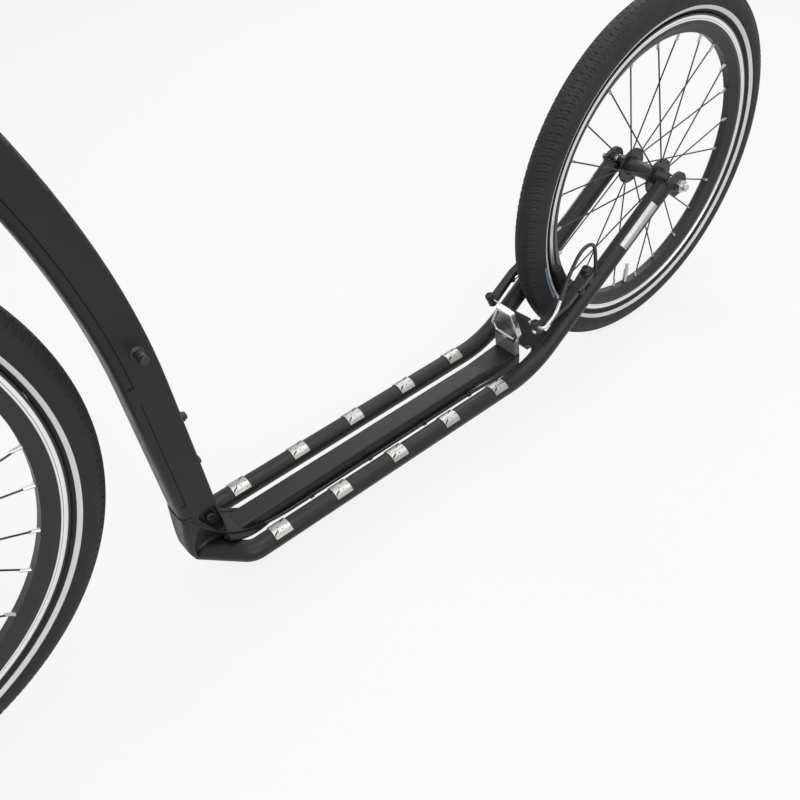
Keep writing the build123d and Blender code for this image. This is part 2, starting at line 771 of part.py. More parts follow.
grip_dir = Vector(
    -math.sin(math.radians(bar_backsweep)),
    math.cos(math.radians(bar_backsweep)),
    math.sin(math.radians(bar_upsweep)),
).normalized()
bar_low = bar_centre + Vector(0, bar_flat_half, 0)
bar_high = bar_low + Vector(-bar_rise_back, bar_rise_run, bar_rise)
lever_start = bar_high + grip_dir * bar_bare_length
lever_end = lever_start + grip_dir * lever_clamp_width
grip_start = lever_end + grip_dir * lever_gap_to_grip
bar_tip = grip_start + grip_dir * grip_length
bar_left = [bar_low, bar_high, bar_tip]
bar_right = [Vector(point.X, -point.Y, point.Z) for point in reversed(bar_left)]
bar = tube(bar_right + bar_left, [bar_bend] * 4, bar_radius)
nodes["handlebar"] = bar + cross_bar(bar_centre, bar_clamp_radius, -bar_clamp_width / 2, bar_clamp_width / 2)

grip = rod(grip_start, bar_tip, grip_radius)
grip += rod(grip_start, grip_start + grip_dir * grip_flange_length, grip_flange_radius)
grip = grip - rod(grip_start, bar_tip, bar_radius + running_gap)
nodes["grip_left"] = grip
nodes["grip_right"] = mirrored(grip)

# Brake levers: a clamp round the bar, a body that takes the cable and a hooked blade
lever_ahead = Vector(math.cos(math.radians(lever_dip)), 0, -math.sin(math.radians(lever_dip)))
lever_middle = (lever_start + lever_end) / 2
pivot = lever_middle + lever_ahead * lever_body_reach
blade_side = grip_dir - lever_ahead * grip_dir.dot(lever_ahead)
blade_side = blade_side.normalized()
lever = rod(lever_start, lever_end, bar_radius + lever_clamp_wall)
lever += rod(lever_middle, pivot, lever_clamp_width / 2)
lever_back = pivot - blade_side * lever_body_length / 2
lever_front = pivot + blade_side * lever_body_length / 2
lever += rod(lever_back, lever_front, lever_body_radius)
blade_knee = lever_front + blade_side * lever_blade_length
blade_tip = blade_knee + blade_side * lever_hook_length + lever_ahead * lever_hook_reach
blade_path = FilletPolyline(pivot, blade_knee, blade_tip, radius=lever_blade_bend)
blade_section = Plane(origin=pivot, x_dir=lever_ahead, z_dir=blade_side) * RectangleRounded(
    lever_blade_thickness, lever_blade_width, lever_blade_thickness / 3
)
lever += sweep(blade_section, path=blade_path)
lever = lever - rod(bar_high, grip_start, bar_radius + running_gap)
nodes["brake_lever_left"] = lever
nodes["brake_lever_right"] = mirrored(lever)


def rim_brake(wheel, out_dir, plane_offset, carrier, facing):
    """Two brake arms on bosses, in a plane across the wheel.

    out_dir points from the axle to the brake, plane_offset moves the arms' plane
    off the axle, carrier is the left tube that holds the boss, and facing is the side
    of the plane on which the studs end and the cable runs. Gives the point where the cable
    crosses the post on the left arm's tip.
    """
    normal = Vector(-out_dir.Z, 0, out_dir.X)
    plane = Plane(origin=axles[wheel.name] + normal * plane_offset, x_dir=out_dir, z_dir=normal)
    pad_r = math.sqrt(wheel.brake_radius**2 - plane_offset**2)
    pivot_r = pad_r - brake_pivot_to_pad
    tip_r = pivot_r + brake_arm_length
    eye_at = (pivot_r, brake_pivot_half_spacing)
    bow_at = ((pivot_r + tip_r) / 2, brake_pivot_half_spacing + brake_bow)
    tip_at = (tip_r, brake_tip_half_spacing)
    outline = link(eye_at, bow_at, brake_eye_radius, brake_mid_radius)
    outline += link(bow_at, tip_at, brake_mid_radius, brake_tip_radius)
    arm = extrude(plane * outline, amount=brake_arm_thickness / 2, both=True)
    cable_at = brake_arm_thickness / 2 + brake_post_cover + pipe_radius
    tip = plane.from_local_coords(Vector(*tip_at, facing * cable_at))
    post_end = plane.from_local_coords(Vector(*tip_at, facing * (cable_at + pipe_radius + brake_post_cover)))
    arm += rod(plane.from_local_coords(Vector(*tip_at, 0)), post_end, brake_tip_radius)
    stud = plane * Pos(*eye_at, 0) * Cylinder(brake_stud_radius, 2 * brake_arm_thickness)
    arm = arm - plane * Pos(*eye_at, 0) * Cylinder(brake_stud_radius + running_gap, 4 * brake_arm_thickness)
    boss_at = -facing * (brake_arm_thickness / 2 + seat_gap + brake_boss_reach / 2)
    boss = plane * Pos(*eye_at, boss_at) * Cylinder(brake_boss_radius, brake_boss_reach)
    boss = (boss + stud) - carrier
    boss = boss.solids().sort_by(lambda piece: (piece.center() - arm.center()).length)[0]
    pad_inner = rim_width / 2 + brake_pad_gap
    pad_outer = pad_inner + brake_pad_thickness
    pad = plane * Pos(pad_r, (pad_inner + pad_outer) / 2, 0) * Box(
        brake_pad_height, brake_pad_thickness, brake_pad_length
    )
    post = plane * Pos(pad_r, pad_outer, 0) * Rot(-90, 0, 0) * Cylinder(
        brake_pad_post, brake_pivot_half_spacing, align=(Align.CENTER, Align.CENTER, Align.MIN)
    )
    nodes[f"{wheel.name}_brake_bosses"] = both(boss)
    nodes[f"{wheel.name}_brake_shoes"] = both(largest((pad + post) - arm))
    pipe_hole = cross_bar(Vector(tip.X, 0, tip.Z), pipe_radius + running_gap, 0, 2 * tip.Y)
    nodes[f"{wheel.name}_brake_arm_left"] = arm - pipe_hole
    nodes[f"{wheel.name}_brake_arm_right"] = mirrored(arm)
    return tip


def brake_cable(name, tip, runs, housing_route):
    """Curved pipe through the left arm's post, boot and wire to the right arm, and the housing.

    runs lead from the pipe's corner, one after the other, to its end, where the housing starts.
    """
    inner_end = tip - Vector(0, pipe_inner_leg, 0)
    turn = math.radians(runs[0].get_angle(Vector(0, 1, 0)))
    pipe_points = [tip + Vector(0, brake_tip_radius + seat_gap + pipe_bend * math.tan(turn / 2), 0)]
    for run in runs:
        pipe_points.append(pipe_points[-1] + run)
    pipe_radii = [pipe_bend] + [pipe_sweep] * (len(runs) - 1)
    nodes[f"{name}_brake_pipe"] = tube([inner_end, *pipe_points], pipe_radii, pipe_radius)
    boot_end = inner_end - Vector(0, boot_length, 0)
    far_side = Vector(tip.X, -tip.Y + brake_tip_radius + seat_gap, tip.Z)
    nodes[f"{name}_brake_wire"] = rod(boot_end, far_side, wire_radius)
    nodes[f"{name}_brake_boot"] = rod(inner_end, boot_end, boot_radius, boot_tip_radius)
    pipe_end = pipe_points[-1]
    pipe_dir = runs[-1].normalized()
    lead_out = [pipe_end + pipe_dir * seat_gap, pipe_end + pipe_dir * housing_lead_out]
    return cable([*lead_out, *housing_route], housing_radius)


rear_out = Vector(math.cos(math.radians(rear_brake_angle)), 0, -math.sin(math.radians(rear_brake_angle)))
rear_tip = rim_brake(rear, rear_out, 0.0, deck_tube, 1)
front_tip = rim_brake(front, blade_line, -front_brake_lead, blade, -1)

# Rear housing: a tight loop from the pipe into the top of the left stay
rear_route = [rear_tip + Vector(*step) for step in ((-77, 3, 84), (-100, 3, 82), (-107, 3, 56), (-112, 2, 25))]
rear_housing = brake_cable("rear", rear_tip, [Vector(-28, -5, 11), Vector(-18, -4, 28)], rear_route)
nodes["rear_brake_housing"] = largest(rear_housing - deck_tube)

# Front housing: up in front of the head tube to the left lever
front_route = [front_tip + Vector(*step) for step in ((8, 12, 180), (6, 18, 245), (-8, 40, 300))]
front_route += [lever_back - blade_side * lever_lead_out, lever_back - blade_side * seat_gap]
nodes["front_brake_housing"] = brake_cable("front", front_tip, [Vector(-6, -4, 50)], front_route)

# Rear cable's lead: from the right lever, round the front of the head tube, into the main tube's left side
right_back = Vector(lever_back.X, -lever_back.Y, lever_back.Z)
right_inward = Vector(-blade_side.X, blade_side.Y, -blade_side.Z)
lead_route = [right_back + right_inward * seat_gap, right_back + right_inward * lever_lead_out]
lead_route += [meeting + Vector(*step) for step in (
    (74, -60, 132), (68, -12, 66), (24, 40, 8), (-30, 40, -40), (-58, 34, -84), (-84, 12, -128)
)]
nodes["rear_brake_lead"] = largest(cable(lead_route, housing_radius) - main_tube)

os.makedirs("parts", exist_ok=True)
for name, shape in nodes.items():
    export_step(shape, f"parts/{name}.step")
print(len(nodes), "nodes")
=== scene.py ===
import json
import math

import bmesh
import bpy
from mathutils import Matrix, Vector


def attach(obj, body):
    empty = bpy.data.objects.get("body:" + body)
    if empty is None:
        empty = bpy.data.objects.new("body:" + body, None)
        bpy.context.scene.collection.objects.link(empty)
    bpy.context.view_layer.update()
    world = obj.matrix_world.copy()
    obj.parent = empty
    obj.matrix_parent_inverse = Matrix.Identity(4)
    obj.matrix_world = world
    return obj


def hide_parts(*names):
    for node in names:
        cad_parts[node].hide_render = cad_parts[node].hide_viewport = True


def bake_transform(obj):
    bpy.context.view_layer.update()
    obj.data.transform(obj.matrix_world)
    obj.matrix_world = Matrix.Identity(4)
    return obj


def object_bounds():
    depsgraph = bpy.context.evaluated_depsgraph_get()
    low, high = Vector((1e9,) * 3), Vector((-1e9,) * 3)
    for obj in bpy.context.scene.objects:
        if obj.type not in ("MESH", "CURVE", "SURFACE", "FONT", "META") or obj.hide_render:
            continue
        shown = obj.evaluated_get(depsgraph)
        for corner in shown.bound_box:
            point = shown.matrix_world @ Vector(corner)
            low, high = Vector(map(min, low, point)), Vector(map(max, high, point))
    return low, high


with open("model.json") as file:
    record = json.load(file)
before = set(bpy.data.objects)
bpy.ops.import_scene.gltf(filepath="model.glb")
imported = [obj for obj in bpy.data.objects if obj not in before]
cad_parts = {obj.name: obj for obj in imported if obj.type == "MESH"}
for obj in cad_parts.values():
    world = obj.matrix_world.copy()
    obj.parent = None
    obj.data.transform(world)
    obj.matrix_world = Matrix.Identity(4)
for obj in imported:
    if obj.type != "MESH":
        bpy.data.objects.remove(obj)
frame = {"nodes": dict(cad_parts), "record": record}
cad_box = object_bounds()
nodes = frame["nodes"]
node_body = {name: body for body, names in frame["record"]["behaviour"]["bodies"].items() for name in names}
node_slot = {part["node"]: part["material_slot"] for part in frame["record"]["subparts"]}
scene = bpy.context.scene

MM = 0.001
GROUND_Z = cad_box[0][2]
LEFT = Vector((0, 1, 0))
BEHIND = Vector((-1, 0, 0))
SIDES = {1: "left", -1: "right"}
joints = {joint["name"]: joint for joint in frame["record"]["behaviour"]["joints"]}
REAR_AXLE = Vector(joints["rear_wheel_spin"]["pos_m"])
FRONT_AXLE = Vector(joints["front_wheel_spin"]["pos_m"])
STEER_FOOT = Vector(joints["steering"]["pos_m"])
STEER_DIR = Vector(joints["steering"]["axis"])
STEER_AHEAD = LEFT.cross(STEER_DIR)


def mm(x, y, z):
    return Vector((x, y, z)) * MM


def flip(point):
    """The same place on the other side of the bike."""
    return Vector((point.x, -point.y, point.z))


def on_side(point, side):
    """A place given for the left, on that side or on the other."""
    return point if side > 0 else flip(point)


def on_steer(height, ahead=0.0, left=0.0):
    """Point at a height in millimetres along the steering axis, ahead of it and to its left."""
    return STEER_FOOT + (STEER_DIR * height + STEER_AHEAD * ahead + LEFT * left) * MM


def wheel_out(spin):
    """Direction out from a wheel's axle."""
    return Vector((math.cos(spin), 0, math.sin(spin)))


def spaced(low, high, steps):
    """Evenly spaced values, with both ends."""
    return [low + (high - low) * step / steps for step in range(steps + 1)]


def round_points(at, first, second, radius, count):
    """Points round a circle in the plane of two directions."""
    angles = [2 * math.pi * step / count for step in range(count)]
    return [at + (first * math.cos(angle) + second * math.sin(angle)) * radius for angle in angles]


def circle(at, axis, radius, count=72):
    """Points round an axis."""
    axis = axis.normalized()
    first = axis.orthogonal().normalized()
    return round_points(at, first, axis.cross(first), radius, count)


# Camera at the photograph's viewpoint
CAM_AT = mm(423.816, 618.143, 749.667)
CAM_RIGHT = Vector((-0.76294362, 0.64409645, -0.05528823))
CAM_UP = Vector((-0.47169306, -0.49615896, 0.7289252))
camera_data = bpy.data.cameras.new("camera")
camera_data.sensor_width = 36.0
camera_data.lens = 37.88
camera_data.clip_start = 0.01
camera = bpy.data.objects.new("camera", camera_data)
turn = Matrix((CAM_RIGHT, CAM_UP, CAM_RIGHT.cross(CAM_UP))).transposed()
camera.matrix_world = Matrix.Translation(CAM_AT) @ turn.to_4x4()
scene.collection.objects.link(camera)
scene.camera = camera
scene.view_settings.view_transform = "Standard"


# Materials by name
looks = {}


class Shader:
    """A material under construction: its nodes, its shader and short calls for wiring."""

    def __init__(self, name, base, roughness, metallic=0.0):
        self.material = bpy.data.materials.new(name)
        self.material.use_nodes = True
        self.tree = self.material.node_tree
        self.shader = self.tree.nodes["Principled BSDF"]
        self.coords = self.tree.nodes.new("ShaderNodeTexCoord").outputs["Object"]
        self.put("Base Color", (*base, 1))
        self.put("Roughness", roughness)
        self.put("Metallic", metallic)
        looks[name] = self.material

    def put(self, name, value):
        self.wire(value, self.shader.inputs[name])

    def node(self, kind, **values):
        made = self.tree.nodes.new(kind)
        for key, value in values.items():
            if key in made.inputs:
                self.wire(value, made.inputs[key])
            else:
                setattr(made, key, value)
        return made

    def wire(self, value, socket):
        if isinstance(value, bpy.types.NodeSocket):
            self.tree.links.new(value, socket)
        else:
            socket.default_value = value

    def stretched(self, scale):
        return self.node("ShaderNodeMapping", Vector=self.coords, Scale=scale).outputs["Vector"]

    def noise(self, scale, detail=3.0, rough=0.55, vector=None):
        vector = vector or self.coords
        made = self.node("ShaderNodeTexNoise", Vector=vector, Scale=scale, Detail=detail, Roughness=rough)
        return made.outputs["Fac"]

    def range(self, value, low, high, to_low=0.0, to_high=1.0):
        made = self.node("ShaderNodeMapRange")
        for index, entry in enumerate((value, low, high, to_low, to_high)):
            self.wire(entry, made.inputs[index])
        return made.outputs["Result"]

    def math(self, operation, first, second=0.0):
        made = self.node("ShaderNodeMath", operation=operation)
        self.wire(first, made.inputs[0])
        self.wire(second, made.inputs[1])
        return made.outputs[0]

    def mix(self, factor, first, second):
        made = self.node("ShaderNodeMix", data_type="RGBA")
        self.wire(factor, made.inputs["Factor"])
        for value, socket in ((first, made.inputs[6]), (second, made.inputs[7])):
            self.wire(value if isinstance(value, bpy.types.NodeSocket) else (*value, 1), socket)
        return made.outputs[2]

    def bump(self, height, distance):
        made = self.node("ShaderNodeBump", Height=height, Distance=distance, Strength=1.0)
        self.put("Normal", made.outputs["Normal"])
        return self

    def radius_from(self, axle):
        """Distance from a wheel's axle line."""
        apart = self.node("ShaderNodeSeparateXYZ", Vector=self.coords)
        across = self.math("SUBTRACT", apart.outputs["X"], axle.x)
        up = self.math("SUBTRACT", apart.outputs["Z"], axle.z)
        squares = self.math("ADD", self.math("MULTIPLY", across, across), self.math("MULTIPLY", up, up))
        return self.math("SQRT", squares)

    def band(self, value, low, high, soft):
        rise = self.range(value, low - soft, low + soft)
        fall = self.range(value, high - soft, high + soft, 1.0, 0.0)
        return self.math("MULTIPLY", rise, fall)


NOISE_SPREAD = (0.3, 0.7)
CLOUD_SPREAD = (0.3, 0.75)
CLOUD_SCALE = 14.0
SHEEN_SCALE = 60.0
PAINT_SHEEN = (-0.06, 0.06)
METAL_SHEEN = (-0.05, 0.07)


def painted(name, base, lift, roughness, grain_scale, grain, specular=0.5):
    """Paint with a fine grain, faint clouds and a soft, uneven sheen."""
    made = Shader(name, base, roughness)
    made.put("Specular IOR Level", specular)
    clouds = made.noise(CLOUD_SCALE, 4.0)
    grainy = made.noise(grain_scale, 2.0)
    lighter = tuple(channel * lift for channel in base)
    made.put("Base Color", made.mix(made.range(clouds, *CLOUD_SPREAD), base, lighter))
    sheen = [roughness + change for change in PAINT_SHEEN]
    made.put("Roughness", made.range(made.noise(SHEEN_SCALE), *NOISE_SPREAD, *sheen))
    return made.bump(grainy, grain)


def metal(name, base, lift, roughness, stretch, scratch):
    """Metal with fine drawn scratches along one direction."""
    made = Shader(name, base, roughness, 1.0)
    drawn = made.noise(1.0, 4.0, 0.6, made.stretched(stretch))
    lighter = tuple(min(1.0, channel * lift) for channel in base)
    made.put("Base Color", made.mix(made.range(drawn, *NOISE_SPREAD), base, lighter))
    sheen = [roughness + change for change in METAL_SHEEN]
    made.put("Roughness", made.range(drawn, *NOISE_SPREAD, *sheen))
    return made.bump(drawn, scratch)


# Paint: colour, share by which its clouds are lighter, roughness, scale and depth of its grain, gloss
# Metal: colour, share by which its scratches are lighter, roughness, their scale each way and their depth
frame_paint = painted("frame_paint", (0.0130, 0.0130, 0.0137), 1.25, 0.40, 2600.0, 0.00005, 0.24)
black_metal = painted("black_metal", (0.011, 0.011, 0.0115), 1.4, 0.34, 2000.0, 0.00003, 0.42)
steel = metal("steel", (0.45, 0.45, 0.46), 1.2, 0.30, (160, 1400, 1400), 0.00003)
polished = metal("polished", (0.48, 0.48, 0.485), 1.2, 0.24, (700, 90, 250), 0.00002)
brushed_dark = metal("brushed_dark", (0.20, 0.20, 0.205), 1.8, 0.30, (500, 60, 120), 0.00004)
grey_paint = painted("grey_paint", (0.150, 0.150, 0.153), 1.4, 0.34, 2200.0, 0.00004)
spoke_black = metal("spoke", (0.014, 0.014, 0.015), 1.3, 0.34, (300, 300, 300), 0.00001)
spoke_black.put("Metallic", 0.3)
rubber = painted("rubber", (0.012, 0.012, 0.0125), 1.35, 0.62, 1500.0, 0.00012, 0.35)
housing = painted("housing", (0.010, 0.010, 0.0105), 1.2, 0.38, 1200.0, 0.00004)
black_plastic = painted("black_plastic", (0.012, 0.012, 0.0125), 1.25, 0.46, 1800.0, 0.00008)
tread_rubber = painted("tyre", (0.0105, 0.0105, 0.0110), 1.5, 0.66, 900.0, 0.00018, 0.32)
ink = painted("dark_line", (0.003, 0.003, 0.0032), 1.2, 0.5, 1500.0, 0.00003, 0.12)
reflective = painted("reflective_band", (0.60, 0.61, 0.62), 1.1, 0.38, 3200.0, 0.00004)
blue_line = painted("blue_line", (0.13, 0.20, 0.30), 1.3, 0.40, 1500.0, 0.00003)
foil = metal("silver_band", (0.34, 0.34, 0.35), 1.15, 0.34, (260, 900, 260), 0.00002)
metal("pad_plate", (0.295, 0.290, 0.280), 1.35, 0.33, (1500, 220, 220), 0.00005)


TURNING_SCALE = 5200.0
TURNING_DEPTH = 0.00004
TRACK_SOFT = 0.0004
GROOVE_PLACE = 0.0019
GROOVE_WIDTH = 0.0005
GROOVE_SOFT = 0.0001
BARE_COLOURS = ((0.78, 0.78, 0.79), (0.92, 0.92, 0.93))
COAT_COLOURS = ((0.010, 0.010, 0.0105), (0.015, 0.015, 0.0155))


def rim_material(name, axle, track_low, track_high):
    """Black rim whose brake track is turned bare, ring by ring, round one dark wear groove."""
    made = Shader(name, COAT_COLOURS[0], 0.4)
    radius = made.radius_from(axle)
    groove_low = track_low + GROOVE_PLACE
    groove = made.band(radius, groove_low, groove_low + GROOVE_WIDTH, GROOVE_SOFT)
    track = made.math("SUBTRACT", made.band(radius, track_low, track_high, TRACK_SOFT), groove)
    rings = made.node("ShaderNodeTexNoise", noise_dimensions="1D", W=radius, Scale=TURNING_SCALE, Detail=2.0)
    turned = rings.outputs["Fac"]
    bare = made.mix(made.range(turned, *NOISE_SPREAD), *BARE_COLOURS)
    coat = made.mix(made.range(made.noise(40.0), *NOISE_SPREAD), *COAT_COLOURS)
    made.put("Base Color", made.mix(track, coat, bare))
    made.put("Roughness", made.range(track, 0.0, 1.0, 0.42, 0.30))
    made.put("Metallic", made.range(track, 0.0, 1.0, 0.2, 1.0))
    return made.bump(made.math("MULTIPLY", turned, track), TURNING_DEPTH)


REAR_TRACK = (0.1975, 0.2035)
FRONT_TRACK = (0.2740, 0.2800)
rim_material("rear_rim", REAR_AXLE, *REAR_TRACK)
rim_material("front_rim", FRONT_AXLE, *FRONT_TRACK)

# A node looks as its slot says; each rim has its own look, and so have the tread pads
for name, node in nodes.items():
    look = name if node_slot[name] == "rim" else node_slot[name]
    if name.startswith("tread_pads"):
        look = "pad_plate"
    node.data.materials.clear()
    node.data.materials.append(looks[look])


# Piece helpers
SHARP_FROM = math.radians(35.0)
RIPPLE_PITCH = 3
WRAP_STEPS = 10


def seat(name, mesh, slot, body):
    """Object with a finished mesh, riding on a body."""
    made = bpy.data.objects.new(name, mesh)
    scene.collection.objects.link(made)
    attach(made, body)
    return made


class Build:
    """Collects closed shapes into one mesh."""

    def __init__(self):
        self.points = []
        self.faces = []
        self.face_materials = []

    def add(self, points, faces):
        base = len(self.points)
        self.points += [Vector(point) for point in points]
        self.faces += [[base + index for index in face] for face in faces]
        self.face_materials += [0] * len(faces)

    def rings(self, rings, closed=False):
        """Skin over rings of equally many points, with end caps unless it runs back to its start."""
        count = len(rings[0])
        flat = [point for ring in rings for point in ring]
        faces = []
        spans = len(rings) if closed else len(rings) - 1
        for ring in range(spans):
            here = ring * count
            there = (ring + 1) % len(rings) * count
            for step in range(count):
                after = (step + 1) % count
                faces.append([here + step, here + after, there + after, there + step])
        if not closed:
            faces.append(list(range(count))[::-1])
            faces.append([(len(rings) - 1) * count + step for step in range(count)])
        self.add(flat, faces)

    def lathe(self, at, axis, profile, segments=24):
        """Solid of revolution from (radius, height) pairs."""
        axis = Vector(axis).normalized()
        first = axis.orthogonal().normalized()
        second = axis.cross(first)
        rings = []
        for radius, height in profile:
            rings.append(round_points(at + axis * height, first, second, radius, segments))
        self.rings(rings)

    def bead(self, path, radius, sides=8, closed=False, ripple=0.0):
        """Round string along points, with a ripple like a weld's."""
        count = len(path)
        rings = []
        out = None
        for index, point in enumerate(path):
            before = path[index - 1] if closed or index else point
            after = path[(index + 1) % count] if closed or index < count - 1 else point
            along = (after - before).normalized()
            out = out - along * out.dot(along) if out else along.orthogonal()
            out.normalize()
            size = radius * (1 + ripple * math.cos(2 * math.pi * index / RIPPLE_PITCH))
            rings.append(round_points(point, out, along.cross(out), size, sides))
        self.rings(rings, closed)

    def ribbon(self, path, acrosses, out, width, height):
        """Flat strip along points, standing a little out of the surface that it lies on."""
        rise = out * height
        rings = []
        for point, across in zip(path, acrosses):
            half = across * (width / 2)
            rings.append([point - half, point + half, point + half + rise, point - half + rise])
        self.rings(rings)

    def wrap(self, start, end, radius, middle, half_angle, height):
        """Strip that lies on a round tube, about the direction given as its middle."""
        other = (end - start).normalized().cross(middle)
        low = []
        high = []
        for step in range(WRAP_STEPS + 1):
            angle = half_angle * (2 * step / WRAP_STEPS - 1)
            out = middle * math.cos(angle) + other * math.sin(angle)
            low.append(out * (radius - height))
            high.append(out * (radius + height))
        outline = low + high[::-1]
        self.rings([[at + point for point in outline] for at in (start, end)])

    def piece(self, name, body, slot, *materials):
        """Object that holds the shapes and rides on a body."""
        mesh = bpy.data.meshes.new(name)
        mesh.from_pydata(self.points, [], self.faces)
        for material in materials:
            mesh.materials.append(material.material)
        mesh.polygons.foreach_set("material_index", self.face_materials)
        shaped = bmesh.new()
        shaped.from_mesh(mesh)
        bmesh.ops.recalc_face_normals(shaped, faces=shaped.faces)
        shaped.to_mesh(mesh)
        shaped.free()
        mesh.shade_smooth()
        mesh.set_sharp_from_angle(angle=SHARP_FROM)
        return seat(name, mesh, slot, body)


def rib(root, crest, low, width, slope):
    """(radius, height) pairs of one rib, from its low end, with sloping sides."""
    return [(root, low), (crest, low + slope), (crest, low + width - slope), (root, low + width)]


def round_head(build, at, axis, radius, height):
    """Screw head with a rounded edge and a hexagon socket."""
    edge = 0.4 * height
    build.lathe(at, axis, [
        (radius, -0.3 * height),
        (radius, height - edge),
        (radius - 0.3 * edge, height - 0.3 * edge),
        (radius - edge, height),
        (0.55 * radius, height),
        (0.50 * radius, 0.55 * height),
        (0.10 * radius, 0.45 * height),
    ], 24)


def hex_nut(build, at, axis, radius, height):
    """Six-sided nut with chamfered corners and the end of its screw."""
    build.lathe(at, axis, [(radius, 0), (radius, 0.85 * height), (0.86 * radius, height)], 6)
    screw_end = [(0.5 * radius, 0), (0.5 * radius, 1.25 * height), (0.4 * radius, 1.35 * height)]
    build.lathe(at, axis, screw_end, 16)


def weighted_normals(mesh):
    """Smooth normals that follow the larger faces, so that flat faces stay flat beside rounded edges."""
    sums = [Vector() for _ in mesh.vertices]
    for polygon in mesh.polygons:
        for vertex in polygon.vertices:
            sums[vertex] += polygon.normal * polygon.area
    mesh.shade_smooth()
    mesh.normals_split_custom_set_from_vertices([total.normalized() for total in sums])


MERGE = 1e-6
FLAT_WITHIN = math.radians(1.0)
EDGE_FROM = math.radians(30)


def softened(name, width, segments=2, paint=None, split=None):
    """A node with its sharp edges rounded; paint gives a face's material from its middle and its normal."""
    node = nodes[name]
    shaped = bmesh.new()
    shaped.from_mesh(node.data)
    bmesh.ops.remove_doubles(shaped, verts=shaped.verts, dist=MERGE)
    bmesh.ops.dissolve_limit(shaped, angle_limit=FLAT_WITHIN, verts=shaped.verts, edges=shaped.edges)
    if split:
        parts = list(shaped.verts) + list(shaped.edges) + list(shaped.faces)
        bmesh.ops.bisect_plane(shaped, geom=parts, plane_co=split[0], plane_no=split[1])
    sharp = [edge for edge in shaped.edges if edge.is_manifold and edge.calc_face_angle() > EDGE_FROM]
    bmesh.ops.bevel(shaped, geom=sharp, offset=width, offset_type="OFFSET", segments=segments, profile=0.5,
                    affect="EDGES", clamp_overlap=True)
    mesh = bpy.data.meshes.new(f"{name}_soft")
    shaped.to_mesh(mesh)
    shaped.free()
    weighted_normals(mesh)
    if paint:
        palette = []
        for polygon in mesh.polygons:
            chosen = paint(polygon.center, polygon.normal)
            if chosen not in palette:
                palette.append(chosen)
                mesh.materials.append(chosen.material)
            polygon.material_index = palette.index(chosen)
    else:
        mesh.materials.append(node.data.materials[0])
    made = seat(f"{name}_soft", mesh, node_slot[name], node_body[name])
    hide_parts(name)


def smooth_line(route, resolution=12):
    """Points along a smooth spline that a route's points control."""
    curve = bpy.data.curves.new("route", "CURVE")
    curve.dimensions = "3D"
    spline = curve.splines.new("NURBS")
    spline.points.add(len(route) - 1)
    for point, at in zip(spline.points, route):
        point.co = (*at, 1)
    spline.order_u = 3
    spline.use_endpoint_u = True
    spline.resolution_u = resolution
    holder = bpy.data.objects.new("route", curve)
    scene.collection.objects.link(holder)
    mesh = bpy.data.meshes.new_from_object(holder)
    line = [vertex.co.copy() for vertex in mesh.vertices]
    bpy.data.objects.remove(holder)
    bpy.data.meshes.remove(mesh)
    bpy.data.curves.remove(curve)
    return line


# Floor, world and lamps
FLOOR_SIZE = 30
FLOOR_GREYS = ((0.61, 0.61, 0.61), (0.63, 0.63, 0.63))
FLOOR_GLOW = 0.84
WORLD_FILL = 0.34


def seen_rays(tree):
    """One for the rays that show the backdrop itself, straight, in gloss or through glass."""
    rays = tree.nodes.new("ShaderNodeLightPath").outputs
    seen = rays["Is Camera Ray"]
    for kind in ("Is Glossy Ray", "Is Transmission Ray"):
        either = tree.nodes.new("ShaderNodeMath")
        either.operation = "MAXIMUM"
        tree.links.new(seen, either.inputs[0])
        tree.links.new(rays[kind], either.inputs[1])
        seen = either.outputs[0]
    return seen


ground = Shader("floor", FLOOR_GREYS[0], 0.9)
mottle = ground.range(ground.noise(3.0), 0.2, 0.8)
ground.put("Base Color", ground.mix(mottle, *FLOOR_GREYS))
glow = ground.node("ShaderNodeEmission", Color=(1, 1, 1, 1), Strength=1.0)
blended = ground.node("ShaderNodeMixShader")
glow_share = ground.math("MULTIPLY", seen_rays(ground.tree), FLOOR_GLOW)
for value, socket in zip((glow_share, ground.shader.outputs[0], glow.outputs[0]), blended.inputs):
    ground.wire(value, socket)
ground.wire(blended.outputs[0], ground.tree.nodes["Material Output"].inputs["Surface"])
bpy.ops.mesh.primitive_plane_add(size=FLOOR_SIZE, location=(0, 0, GROUND_Z))
floor = bpy.context.object
floor.name = "floor"
floor.data.materials.append(ground.material)

world = bpy.data.worlds.new("studio")
scene.world = world
world.use_nodes = True
tree = world.node_tree
background = tree.nodes["Background"]
background.inputs["Color"].default_value = (1, 1, 1, 1)
strength = tree.nodes.new("ShaderNodeMapRange")
strength.inputs["To Min"].default_value = WORLD_FILL
strength.inputs["To Max"].default_value = 1.0
tree.links.new(seen_rays(tree), strength.inputs["Value"])
tree.links.new(strength.outputs["Result"], background.inputs["Strength"])


def softbox(name, at, target, size, power):
    """Rectangular lamp turned to a target."""
    lamp = bpy.data.lights.new(name, "AREA")
    lamp.shape = "RECTANGLE"
    lamp.size, lamp.size_y = size
    lamp.energy = power
    made = bpy.data.objects.new(name, lamp)
    made.location = at
    made.rotation_euler = (Vector(target) - Vector(at)).to_track_quat("-Z", "Y").to_euler()
    scene.collection.objects.link(made)


softbox("top_light", (0.0, 0.3, 2.3), (0, 0, 0), (2.6, 2.0), 38)
softbox("left_light", (0.6, 2.4, 1.3), (0, 0, 0.1), (1.8, 1.4), 30)
softbox("back_light", (-1.6, -1.4, 1.6), (-0.1, 0, 0.1), (1.6, 1.2), 16)


# Tyres: a round section with a cut tread and a reflective band on each side, by degrees round the section
TREAD_STEPS = 22
TREAD_EDGE = 62.0
TYRE_BAND = (114.0, 129.0)
TYRE_BAND_LIFT = 0.0002
TYRE_END = 150.0
TYRE_WALL = (74.0, 88.0, 102.0, *TYRE_BAND, 140.0, TYRE_END)
BLOCK_STEPS = 8

